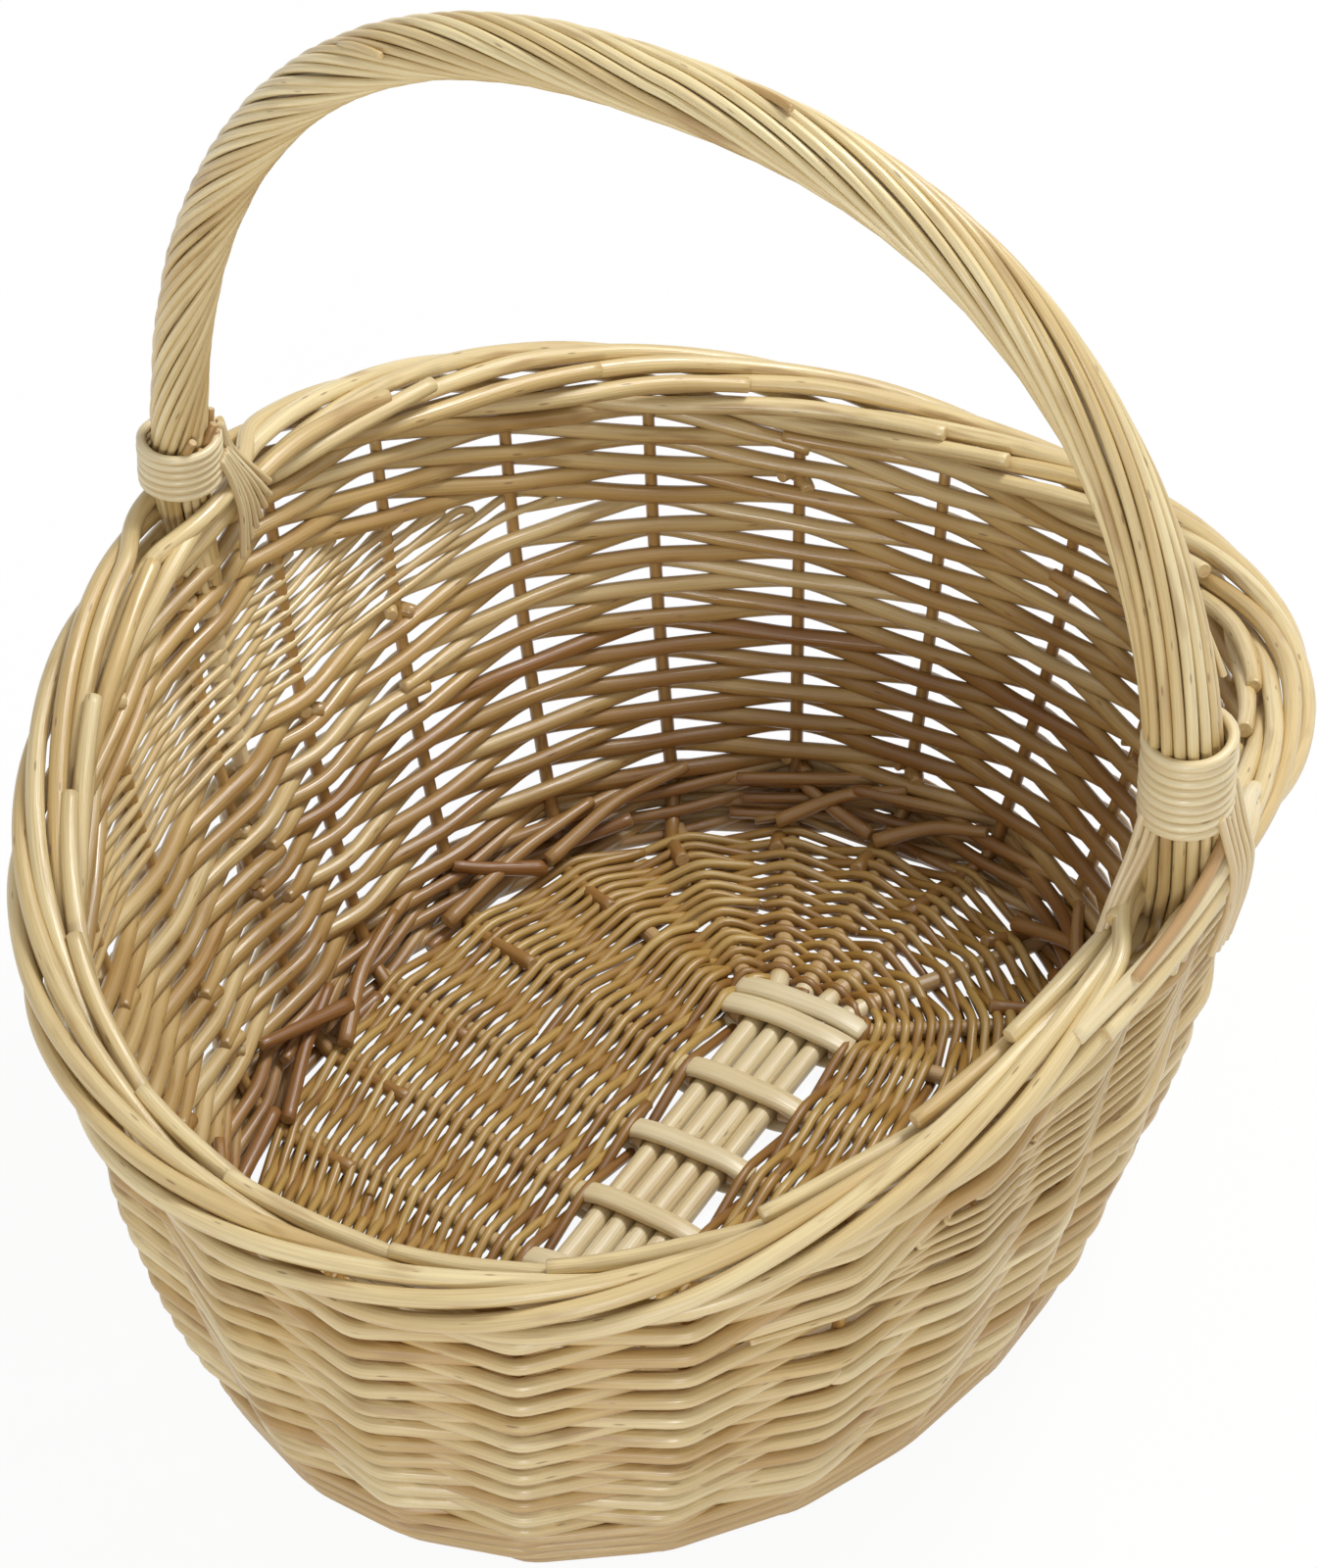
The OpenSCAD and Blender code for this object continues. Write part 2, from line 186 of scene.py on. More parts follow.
# %% Bend a path
def bend(corners, soften, step):
    """Straight runs between corners, sampled every step, then rounded.

    Each point becomes the weighted mean of its neighbours, with weights that fall in a
    straight line to nothing at the distance soften. The two ends stay in place. Further
    columns after x, y and z, such as a thickness, are rounded in the same way.
    """
    corners = np.asarray(corners, float)
    lengths = np.linalg.norm(np.diff(corners[:, :3], axis=0), axis=1)
    runs = np.concatenate([[0], np.cumsum(lengths)])
    count = max(3, int(round(runs[-1] / step)) + 1)
    along = np.linspace(0, runs[-1], count)
    path = np.stack([np.interp(along, runs, column) for column in corners.T], -1)
    reach = min(int(round(soften / step)), count - 2)
    if reach < 1:
        return path
    before = 2 * path[:1] - path[reach:0:-1]
    after = 2 * path[-1:] - path[-2:-reach - 2:-1]
    weights = 1 + reach - np.abs(np.arange(-reach, reach + 1.0))
    weights = weights / weights.sum()
    padded = np.concatenate([before, path, after])
    return np.stack([np.convolve(column, weights, "valid") for column in padded.T], -1)


def waver(rng, count, size, waves):
    """A slow random curve of count values: three sines of random phase and strength."""
    x = np.linspace(0, 2 * math.pi, count)
    turns = rng.uniform(0.5, 1.5, 3) * waves * np.array([0.5, 1, 1.7])
    phases, strengths = rng.uniform(0, 2 * math.pi, 3), rng.uniform(0.3, 1, 3)
    return size * (np.sin(x[:, None] * turns + phases) * strengths).sum(1) / 2


print("a rod with one bend has", len(bend([(0, 0, 0), (50, 0, 0), (50, 50, 0)], 10, 3)), "points")

# %% Carry a round profile along a path
CHAMFER, CUT_WIDTH = 0.35, 0.8    # a cut end narrows to this share over the chamfer
GRAIN_SHIFT = 997                 # millimetres of grain for one step of tone


def rod(path, thick, tone, sides, flat=1.0, curve=2.0, ref=(0, 0, 1.0)):
    """One rod: ring i is path[i] + thick/2 (x side + flat y up), (x, y) on an oval.

    side is the path's direction crossed with ref, and up is side crossed with the
    direction. A narrower ring past each end makes the chamfer of the cut, and one flat
    face closes it. The grain is (x, y, distance along) in millimetres, and the distance
    starts at another place for each tone, so that no two rods show the same grain.
    """
    path = np.asarray(path, float)
    radius = np.broadcast_to(np.asarray(thick, float) / 2, path.shape[:1])
    way = np.gradient(path, axis=0)
    way /= np.linalg.norm(way, axis=1, keepdims=True)
    ref = np.broadcast_to(np.asarray(ref, float), path.shape)
    path = np.concatenate([path[:1] - CHAMFER * way[:1], path, path[-1:] + CHAMFER * way[-1:]])
    way, ref = (np.concatenate([v[:1], v, v[-1:]]) for v in (way, ref))
    radius = np.concatenate([CUT_WIDTH * radius[:1], radius, CUT_WIDTH * radius[-1:]])
    side = np.cross(way, ref)
    side /= np.linalg.norm(side, axis=1, keepdims=True)
    up = np.cross(side, way)
    ring = np.arange(sides)
    q = 2 * math.pi * (ring + 0.5) / sides
    x, y = (radius[:, None] * v for v in oval(q, 1, flat, curve).T)
    points = path[:, None] + x[..., None] * side[:, None] + y[..., None] * up[:, None]
    steps = np.linalg.norm(np.diff(path, axis=0), axis=1)
    tone = np.broadcast_to(tone, len(path) - 2)
    tone = np.concatenate([tone[:1], tone, tone[-1:]])
    along = np.concatenate([[0], np.cumsum(steps)]) + GRAIN_SHIFT * tone[0]
    n = len(path)
    cut = np.zeros(n)
    cut[[0, -1]] = 1
    rings = np.arange(n - 1)[:, None] * sides
    a, b = (rings + ring).ravel(), (rings + (ring + 1) % sides).ravel()
    quads = np.stack([a, a + sides, b + sides, b], -1)
    caps = np.stack([ring, (n - 1) * sides + ring[::-1]])
    grain = np.stack([x, y, np.broadcast_to(along[:, None], x.shape)], -1)
    return {"points": points.reshape(-1, 3), "quads": quads, "caps": caps,
            "grain": grain.reshape(-1, 3), "cut": np.repeat(cut, sides),
            "tone": np.repeat(tone, sides)}


print("a straight rod has", len(rod([(0, 0, 0), (9, 0, 0), (18, 0, 0)], 5, 0, 10)["quads"]), "faces")

# %% [markdown]
# ## From rods to a piece
# A piece is a bundle of rods in one mesh. foreach_set writes whole arrays into the
# mesh, which is far quicker than a bmesh loop. Three attributes go with it: the grain
# coordinates, a tone for each rod, and a mark on the cut ends. The finishes read them.

# %% Make a piece of many rods
def joined(rods, label):
    """One array of the rods end to end."""
    return np.concatenate([r[label] for r in rods])


def piece(name, rods, finish, nodes):
    """Puts rods end to end in one mesh, in metres, and hangs it on the basket.

    Faces with four corners go round a rod and are smooth. The others are its cut ends.
    """
    starts = np.cumsum([0] + [len(r["points"]) for r in rods[:-1]])
    faces = [r[kind] + start for kind in ("quads", "caps") for r, start in zip(rods, starts)]
    corners = np.concatenate([f.ravel() for f in faces]).astype(np.int32)
    sizes = np.concatenate([np.full(len(f), f.shape[1]) for f in faces])
    points = joined(rods, "points") * MM
    mesh = bpy.data.meshes.new(name)
    mesh.vertices.add(len(points))
    mesh.vertices.foreach_set("co", points.astype(np.float32).ravel())
    mesh.loops.add(len(corners))
    mesh.loops.foreach_set("vertex_index", corners)
    mesh.polygons.add(len(sizes))
    mesh.polygons.foreach_set("loop_start", (np.cumsum(sizes) - sizes).astype(np.int32))
    mesh.polygons.foreach_set("use_smooth", sizes == 4)
    for label, kind, key in (("grain", "FLOAT_VECTOR", "vector"), ("tone", "FLOAT", "value"),
                             ("cut", "FLOAT", "value")):
        values = mesh.attributes.new(label, kind, "POINT")
        values.data.foreach_set(key, joined(rods, label).astype(np.float32).ravel())
    mesh.update(calc_edges=True)
    if mesh.validate():
        raise ValueError(f"the mesh of {name} needed repair")
    thing = bpy.data.objects.new(name, mesh)
    bpy.context.scene.collection.objects.link(thing)
    mesh.materials.append(finish)
    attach(thing, "root")
    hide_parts(*nodes)
    print(name, "rods", len(rods), "faces", len(sizes))
    return thing


# %% [markdown]
# ## The finish: peeled willow
# Peeled willow is a smooth pale wood with a soft sheen. Fine lines run along it, its
# colour drifts from cream to honey from rod to rod and along each rod, old bark leaves
# a tan patch here and there, and small buds leave dark specks. The side turned down is
# painted browner, as painted shade. An image could be wrapped round each rod, but masks
# worked out by nodes stay sharp at any distance. They sit in one node group that all the
# finishes share, and they read the grain attribute, so the pattern follows every bend of a rod.

# %% Node helpers
def linear(red, green, blue):
    """A colour on the 0 to 255 scale, changed to the light values that nodes take."""
    values = [v / 255 for v in (red, green, blue)]
    light = [v / 12.92 if v <= 0.04045 else ((v + 0.055) / 1.055) ** 2.4 for v in values]
    return (*light, 1.0)


def give(tree, socket, value):
    """Links the socket to value where that is an output, or sets it to a plain value."""
    if isinstance(value, bpy.types.NodeSocket):
        tree.links.new(value, socket)
    else:
        socket.default_value = value


def add_node(tree, kind, inputs=None, **settings):
    """A node with its settings, its plain values set and its links made."""
    node = tree.nodes.new(kind)
    for key, value in settings.items():
        setattr(node, key, value)
    for key, value in (inputs or {}).items():
        give(tree, node.inputs[key], value)
    return node


def combine(tree, operation, *values, **settings):
    """The values combined by one operation of a math node."""
    inputs = dict(enumerate(values))
    return add_node(tree, "ShaderNodeMath", inputs, operation=operation, **settings).outputs[0]


def blend_colours(tree, part, first, second):
    """first where part is 0 and second where it is 1."""
    node = add_node(tree, "ShaderNodeMix", data_type="RGBA")
    inputs = [s for s in node.inputs if s.enabled]
    for socket, value in zip(inputs, (part, first, second)):
        give(tree, socket, value)
    return [s for s in node.outputs if s.enabled][0]


def stretched(tree, vector, across, along):
    """Grain coordinates with x and y times across, and the distance times along."""
    return add_node(tree, "ShaderNodeVectorMath", {0: vector, 1: (across, across, along)},
                    operation="MULTIPLY").outputs[0]


def mask(tree, value, low, high):
    """0 at low, 1 at high and smooth between. low may be the larger of the two."""
    return add_node(tree, "ShaderNodeMapRange", {"Value": value, "From Min": low, "From Max": high},
                    interpolation_type="SMOOTHSTEP").outputs[0]


def noise_mask(tree, grain, across, along, detail, low, high):
    """A mask of noise: across and along are its waves a millimetre."""
    waves = stretched(tree, grain, across, along)
    noise = add_node(tree, "ShaderNodeTexNoise", {"Vector": waves, "Scale": 1.0, "Detail": detail})
    return mask(tree, noise.outputs["Fac"], low, high)


print("cream in light values:", [round(v, 3) for v in linear(234, 222, 184)])

# %% Masks that all the rods share
MASKS = ("Lines", "Drift", "Patches", "Specks", "UnderShade")


def willow_masks():
    """Group: grain lines, slow drift of colour, bark patches, bud specks and underside.

    Specks are small spots round the points of a Voronoi pattern. The underside mask is painted
    shade: 1 on the side of a rod that is turned down, minus y over the length of (x, y).
    """
    tree = bpy.data.node_groups.new("willow_masks", "ShaderNodeTree")
    tree.interface.new_socket(name="Grain", in_out="INPUT", socket_type="NodeSocketVector")
    for label in MASKS:
        tree.interface.new_socket(name=label, in_out="OUTPUT", socket_type="NodeSocketFloat")
    grain = tree.nodes.new("NodeGroupInput").outputs["Grain"]
    dots = add_node(tree, "ShaderNodeTexVoronoi",
                    {"Vector": stretched(tree, grain, 0.3, 0.055), "Scale": 1.0})
    skin_way = add_node(tree, "ShaderNodeVectorMath", {0: stretched(tree, grain, 1, 0)},
                        operation="NORMALIZE")
    up = add_node(tree, "ShaderNodeSeparateXYZ", {0: skin_way.outputs[0]}).outputs["Y"]
    values = (noise_mask(tree, grain, 1.5, 0.035, 3.0, 0.38, 0.66),
              noise_mask(tree, grain, 0.05, 0.009, 1.0, 0.3, 0.7),
              noise_mask(tree, grain, 0.22, 0.03, 2.0, 0.56, 0.74),
              mask(tree, dots.outputs["Distance"], 0.13, 0.05),
              mask(tree, up, 0.1, -0.9))
    add_node(tree, "NodeGroupOutput", dict(zip(MASKS, values)))
    return tree


WILLOW_MASKS = willow_masks()
print("node groups:", [tree.name for tree in bpy.data.node_groups])

# %% Willow finishes
BUD, FRESH_CUT = (112, 74, 42), (214, 186, 136)
TONE_SHARE, DRIFT_SHARE = 0.62, 0.38


def willow(name, pale, honey, stain_and_shade, rough, stained=0.55):
    """Peeled willow between pale and honey, by a share of tone plus a share of Drift.

    A tone over 1 goes on from there towards the stain colour, which serves both real bark
    patches and painted shade: the underside mask and the tone that some rods add where
    they lie in shade. Then each mask lays its colour over the rest, by its own share.
    A thin coat gives the sheen.
    """
    finish = bpy.data.materials.new(name)
    finish.use_nodes = True
    tree = finish.node_tree
    shader = tree.nodes["Principled BSDF"]
    grain, tone, cut = (add_node(tree, "ShaderNodeAttribute", attribute_name=label).outputs
                        for label in ("grain", "tone", "cut"))
    group = tree.nodes.new("ShaderNodeGroup")
    group.node_tree = WILLOW_MASKS
    give(tree, group.inputs["Grain"], grain["Vector"])
    masks, tone = group.outputs, tone["Fac"]
    ripe = combine(tree, "MULTIPLY_ADD", masks["Drift"], DRIFT_SHARE,
                   combine(tree, "MULTIPLY", tone, TONE_SHARE))
    colour = blend_colours(tree, ripe, linear(*pale), linear(*honey))
    # A tone over 1 darkens towards the stain colour: real bark colour where the tone is random,
    # painted shade where a rod adds tone for lying in shade.
    dark = combine(tree, "ADD", tone, -1.0, use_clamp=True)
    colour = blend_colours(tree, dark, colour, linear(*stain_and_shade))
    # The underside mask darkens the side of each rod that is turned down: painted shade.
    for part, share, over in ((masks["UnderShade"], 0.4, stain_and_shade), (masks["Patches"], stained, stain_and_shade),
                              (masks["Lines"], 0.24, stain_and_shade), (masks["Specks"], 0.6, BUD),
                              (cut["Fac"], 0.5, FRESH_CUT)):
        colour = blend_colours(tree, combine(tree, "MULTIPLY", part, share), colour, linear(*over))
    uneven = add_node(tree, "ShaderNodeMapRange",
                      {"Value": masks["Lines"], "To Min": rough - 0.06, "To Max": rough + 0.1})
    height = combine(tree, "ADD", masks["Lines"], masks["Specks"])
    bump = add_node(tree, "ShaderNodeBump", {"Height": height, "Strength": 0.25, "Distance": 0.0003},
                    invert=True)
    for label, value in (("Base Color", colour), ("Roughness", uneven.outputs[0]),
                         ("Normal", bump.outputs[0]), ("Specular IOR Level", 0.8),
                         ("Coat Weight", 0.25), ("Coat Roughness", 0.3)):
        give(tree, shader.inputs[label], value)
    return finish


FINISHES = {
    "pale_willow": willow(
        "pale_peeled_willow", (234, 222, 184), (216, 194, 142), (184, 146, 96), 0.42, 0.3),
    "straw_willow": willow(
        "straw_willow", (234, 216, 166), (198, 166, 102), (150, 106, 50), 0.36),
    "tan_willow": willow(
        "tan_willow", (208, 180, 118), (178, 138, 76), (140, 92, 38), 0.42),
    "umber_willow": willow(
        "umber_willow", (218, 191, 134), (184, 145, 86), (134, 85, 34), 0.42, 0.5),
    "base_willow": willow(
        "olive_base_willow", (208, 178, 102), (174, 132, 58), (124, 78, 24), 0.46, 0.6),
}
print("finishes:", list(FINISHES))

# %% [markdown]
# ## The base: a cross of sticks
# Eight short sticks are split and the four long sticks are pushed through the splits.
# From inside, the long sticks show as four round pale bars, and each short stick as
# a flat strip over them. Past the cross every short stick is whole and round again.
# One bar cut open would need a boolean. Two flat halves and two whole ends look the
# same once they are woven in, so each short stick is four rods.

# %% Places of the base sticks
LONG_PITCH, SHORT_PITCH, PAIR_PITCH = 7, 29.7, 8.4
CROSS_X, CROSS_Y = -11.5, -5          # the middle of the cross
FAR_PAIR, NEAR_PAIR = 34.3, 23        # from the last single short stick to a pair's middle
CROSS_PAST, SPLIT_PAST = 6, 3         # how far the cross and the splits run on
STICK_INSET = 3                       # from the stakes to the ends of the sticks
SLATH_HALF = LONG_PITCH * LONG_STICKS / 2


def short_x(k):
    """Four single short sticks, and two together at each end of the cross."""
    single = min(max(k, 2), SHORT_STICKS - 3)
    x = (SHORT_STICKS / 2 - 0.5 - single) * SHORT_PITCH + CROSS_X
    if k < 2:
        return x + FAR_PAIR + (0.5 - k) * PAIR_PITCH
    if k > SHORT_STICKS - 3:
        return x - NEAR_PAIR + (SHORT_STICKS - 1.5 - k) * PAIR_PITCH
    return x


FAR_X, NEAR_X = short_x(0) + CROSS_PAST, short_x(SHORT_STICKS - 1) - CROSS_PAST
long_y = (np.arange(LONG_STICKS) - LONG_STICKS / 2 + 0.5) * LONG_PITCH + CROSS_Y
left_y, right_y = CROSS_Y + SLATH_HALF + SPLIT_PAST, CROSS_Y - SLATH_HALF - SPLIT_PAST
ARM_START = np.array(
    [(FAR_X, y) for y in long_y[2:]]
    + [(short_x(k), left_y) for k in range(SHORT_STICKS)]
    + [(NEAR_X, y) for y in long_y[::-1]]
    + [(short_x(k), right_y) for k in reversed(range(SHORT_STICKS))]
    + [(FAR_X, y) for y in long_y[:2]])
ARM_END = oval(stake_t(np.arange(STAKES)), LOW_A - STICK_INSET, LOW_B - STICK_INSET, BASE_CURVE)


def arm(i, part, lift=0.0):
    """The stick that ends at stake i: part 0 at the cross and part 1 at the edge."""
    i, part, lift = np.broadcast_arrays(np.asarray(i) % STAKES, part, lift)
    plan = mix(ARM_START[i], ARM_END[i], part[..., None])
    return np.concatenate([plan, (STICK_Z + lift)[..., None]], -1)


print("the cross runs from x", round(NEAR_X, 1), "to", round(FAR_X, 1), "mm")

# %% Long sticks
LONG_THICK, LONG_TIP = 6.5, 60    # past the cross a stick thins over the length of its tip
rng = np.random.default_rng(11)
rods = []
for j in range(LONG_STICKS):
    near, far = STAKES // 2 + 1 - j, (j - LONG_STICKS // 2) % STAKES
    path = bend([arm(near, 1.0), arm(near, 0.0), arm(far, 0.0), arm(far, 1.0)], 16, 4)
    thick = LONG_THICK + waver(rng, len(path), 0.25, 3)
    cross_end = np.where(path[:, 0] > 0, FAR_X, -NEAR_X)
    full = np.clip((cross_end + LONG_TIP - np.abs(path[:, 0])) / LONG_TIP, 0, 1)
    path[:, 1] += waver(rng, len(path), 0.2, 2)
    # Past the cross the sticks are painted brown: painted shade where they lie between the pairing
    # rods.
    tone = mix(1.7, 0.4 * rng.uniform(), full > 0.93)    # pale inside the cross
    rods.append(rod(path, thick * mix(0.68, 1, full), tone, 18))
piece("willow_long_sticks", rods, FINISHES["pale_willow"], ["long_sticks"])

# %% Short sticks
STRIP_WIDE, STRIP_HIGH = 7.8, 3.6
rng = np.random.default_rng(12)
rods = []
for k in range(SHORT_STICKS):
    x, wide = short_x(k), STRIP_WIDE + rng.uniform(-0.4, 0.4)
    for sign in (1, -1):
        out = SLATH_HALF + np.array([-5, 0.5, 6.5])
        y = CROSS_Y + np.concatenate([-out[::-1], out])
        lift = sign * np.array([2.4, 4.4, 4.9, 4.9, 4.4, 2.4])
        path = bend(np.stack([np.full(6, x), y, STICK_Z + lift], -1), 6, 1.5)
        path[:, 0] += waver(rng, len(path), 0.35, 1)
        rods.append(rod(path, wide, 0.5 * rng.uniform(), 16, flat=STRIP_HIGH / wide, curve=2.2))
    for i in (k + LONG_STICKS // 2, STAKES - 3 - k):
        path = bend([arm(i, -0.03), arm(i, 1.0)], 6, 4)
        # The round ends past the cross are painted brown: painted shade between the pairing rods.
        rods.append(rod(path, np.linspace(6.0, 4.5, len(path)), 1.4 + rng.uniform(0, 0.4), 12))
piece("willow_short_sticks", rods, FINISHES["pale_willow"], ["short_sticks"])

# %% [markdown]
# ## The base: pairing
# Two thin rods go round the sticks, and swap over between every two sticks: where
# one goes over, its partner goes under. An oval base has longer sticks at its sides
# than at its ends, so the weaver adds short turned-back rounds there. One spiral would be
# easier to draw, but it would gape at the sides. So a table counts, for every stick,
# the rounds that lie below each full round, the short ones with it.

# %% Slots of the rounds along every stick
PAIR_THICK, GRIP = 3.05, 0.3    # rods that cross press into each other by the grip
# The short rounds of the two sides: the full round that each follows, and how many
# short sticks it leaves out at each end.
SHORT_ROUNDS = np.array([(1, 0), (2, 1), (4, 0), (6, 1), (7, 0), (9, 1), (10, 0), (12, 1)])
stick_end = np.full(STAKES, -1)
for k in range(SHORT_STICKS):
    stick_end[[k + LONG_STICKS // 2, STAKES - 3 - k]] = min(k, SHORT_STICKS - 1 - k)
REACHED = stick_end[None] >= SHORT_ROUNDS[:, 1:]
FOLLOWS = SHORT_ROUNDS[:, 0, None] <= np.arange(BASE_ROUNDS + 1)
SLOTS = np.arange(BASE_ROUNDS + 1) + (REACHED[:, :, None] & FOLLOWS[:, None]).sum(0)
print("rounds along the middle of a side:", SLOTS[5, -1], "and at an end:", SLOTS[0, -1])


def pair_part(slot, i):
    """How far out on stick i a slot lies: slot, plus a spiral's share, over all slots."""
    return (slot - 0.2 + i / STAKES) / (SLOTS[i, -1] + 0.65)


# %% Pairing rods
def pairing_rod(n, slots, strand, tone, run_on=None):
    """One rod past the sticks n, over those where n + strand is even, under the rest.

    Its middle lies half a stick and half a rod, less the grip, over or under the stick.
    At each end it runs on a little towards the next stick, at the slots of run_on there.
    It is painted browner where it passes under a stick, as painted shade: 0 over a stick and 1 under
    it.
    """
    i = n % STAKES
    part = pair_part(slots + strand / 2, i)
    if run_on is None:
        run_on = part[[0, -1]]
    else:
        run_on = pair_part(run_on + strand / 4, (n[[0, -1]] + (-1, 1)) % STAKES)
    hug = np.interp(part, [0, 0.08, 1], [3.7, 3.05, 2.25]) + PAIR_THICK / 2 - GRIP
    over = (n + strand) % 2 == 0
    corners = arm(i, part, np.where(over, hug, -hug))
    ends = []
    for k, way in ((0, -1), (-1, 1)):
        reach = 0.33 if run_on[k] == part[k] else 0.6
        ends.append(mix(corners[k], arm(n[k] + way, run_on[k]), reach))
    # Painted shade: 1 where the rod passes under a stick.
    under_stick_shade = np.concatenate([[0.5], np.where(over, 0.0, 1.0), [0.5]])
    path = bend(np.column_stack([np.concatenate([ends[:1], corners, ends[1:]]), under_stick_shade]), 4.2, 2.4)
    path, under_stick_shade = path[:, :3], path[:, 3]
    path[:, 2] += waver(rng, len(path), 0.15, 14)
    path[:, :2] += waver(rng, len(path), 0.25, 9)[:, None]
    thick = np.linspace(PAIR_THICK * 1.07, PAIR_THICK * 0.87, len(path))
    return rod(path, thick * (1 + waver(rng, len(path), 0.04, 8)), tone + 0.9 * under_stick_shade, 8)


def pairing(first, last):
    """Both strands from full round first to full round last, with the short rounds.

    A rod goes on for 26 to 43 sticks, and the next one starts beside its last two. Rods
    that start in the first round and a quarter are brown, the rest are of any tone.
    """
    rods = []
    for strand in (0, 1):
        start, end = first * STAKES + strand * 5, last * STAKES + strand * 5 - 4
        while start < end - 2:
            n = np.arange(start, min(end, start + int(rng.integers(26, 44))) + 1)
            tone = 1.35 if start < 1.25 * STAKES else rng.uniform()
            slots = SLOTS[n % STAKES, np.minimum(n // STAKES, BASE_ROUNDS)]
            rods.append(pairing_rod(n, slots, strand, tone))
            start = n[-1] - 1
    for number, (follows, left_out) in enumerate(SHORT_ROUNDS):
        if first <= follows < last:
            for side_first in (LONG_STICKS // 2, STAKES // 2 + LONG_STICKS // 2):
                n = np.arange(side_first + left_out, side_first + SHORT_STICKS - left_out)
                slots = follows + REACHED[:number, n % STAKES].sum(0)
                next_ones = (n[[0, -1]] + (-1, 1)) % STAKES
                run_on = follows - 0.2 + REACHED[:number, next_ones].sum(0)
                rods += [pairing_rod(n, slots, strand, rng.uniform(), run_on) for strand in (0, 1)]
    return rods


half = BASE_ROUNDS // 2
rng = np.random.default_rng(13)
olive = FINISHES["base_willow"]
piece("willow_pairing_inner", pairing(0, half), olive, ["base_pairing_inner"])
piece("willow_pairing_outer", pairing(half, BASE_ROUNDS), olive, ["base_pairing_outer"])

# %% [markdown]
# ## Stakes
# A side stake is pushed into the base beside a stick, pricked up at the edge and woven
# round. Its foot shows as a rod lying in the base, and its height as the upright that
# the siding passes. An upright alone would be enough for the wall, but a rod with one
# bend at the edge also gives the loose feet that are seen on the base inside.

# %% Side stakes
BESIDE = 4.3    # from the middle of a base stick to the foot of the stake
rng = np.random.default_rng(14)
rods = []
for i in range(STAKES):
    t = float(stake_t(i))
    aside = np.append(outward(t, LOW_A, LOW_B, BASE_CURVE)[::-1] * (-1, 1), 0) * BESIDE
    up = wall(t, np.array([0.04, 0.2, 0.45, 0.7, 1.0]), waver(rng, 5, 0.25, 1))
    inner_end = arm(i, rng.uniform(0.6, 0.8)) + aside + (0, 0, rng.uniform(1.5, 4.5))
    path = bend([inner_end, arm(i, 0.93) + aside, *up], 9, 3.5)
    share = np.linspace(0, 1, len(path))
    thick = np.interp(share, [0, 0.3, 1], [4.9, 4.1, 3.6])
    tone = np.interp(share, [0, 0.4], [1.25, 0.9]) + 0.4 * rng.uniform()
    rods.append(rod(path, thick, tone, 10, ref=(-path[0, 1], path[0, 0], 0)))
piece("willow_side_stakes", rods, FINISHES["tan_willow"], ["side_stakes"])

# %% [markdown]
# ## Wales
# A wale is a heavy band: three or four rods worked together, each in front of two or
# three stakes and behind the next. It locks the stakes at the foot and sets the wall.
# These rods are thick, browner inside than outside, partly their own brown and partly
# painted shade, and end in blunt cuts inside the basket. A twisted ring would look like a
# wale from afar, but it would not pass the stakes, so each strand steps from stake to
# stake as the weaver's hand does.

# %% Foot wale and upsett wale
WALE_PITCH, WALE_THICK = 3.4, 4.2
FOOT_BAND_Z, UPSETT_BANDS_Z = 5.3, (11.6, 18.2)
BUTT_REST_Z = 12.5    # where a butt comes to rest on the base


def wale_strand(z, strand, strands, rng):
    """One strand: at stake i it is at step (i + strand) of strands.

    Step 0 passes inside the stake and is brown: partly the rod's own brown, partly painted
    shade. The later steps pass outside it, paler, and climb. The butt and the tip run loose
    inside the foot of the wall.
    """
    first = int(rng.integers(0, STAKES))
    first += (-(first + strand)) % strands
    i = np.arange(first, first + STAKES + strands + 1)
    step = (i + strand) % strands
    reach = STAKE_R + WALE_THICK / 2
    off = np.where(step == 0, -reach - 0.6, reach)
    climb = np.where(step == 0, 0, (step / (strands - 1) * 2 - 1.4) * WALE_PITCH)
    corners = wall_at(stake_t(i), z + climb, off)
    butt = wall_at(stake_t(first - rng.uniform(0.5, 0.9)), z + rng.uniform(1, 5),
                   -reach - rng.uniform(3, 6))
    tip = wall_at(stake_t(i[-1] + rng.uniform(0.3, 0.7)), z + rng.uniform(1, 6),
                  -reach - rng.uniform(2, 5))
    corners = np.concatenate([[butt], corners[:-1], [tip]])
    # Painted shade, with the rods' own brown: the passes inside the stakes are much browner.
    tone = np.where(np.append(0, step) == 0, 1.8, 0.15 + 0.5 * rng.uniform())
    path = bend(np.column_stack([corners, tone]), 6, 2.8)
    path, tone = path[:, :3], path[:, 3]
    path[:, 2] += waver(rng, len(path), 0.35, 6)
    taper = np.linspace(1.08, 0.86, len(path)) * (1 + waver(rng, len(path), 0.03, 5))
    return rod(path, WALE_THICK * taper, tone, 10)


def butt_end(i, z, run, rng):
    """The thick end of a rod laid in beside stake i, slanting down to the base inside."""
    t = stake_t(np.array([i - 0.15, i + run * 0.4, i + run]))
    off = np.array([-5, -8.5, -10 - rng.uniform(0, 6)])
    path = bend(wall_at(t, np.array([z, z - 3, max(BUTT_REST_Z, z - 9)]), off), 8, 3)
    return rod(path, np.linspace(3.6, rng.uniform(4.4, 5.6), len(path)), 0.9 + rng.uniform(), 10)


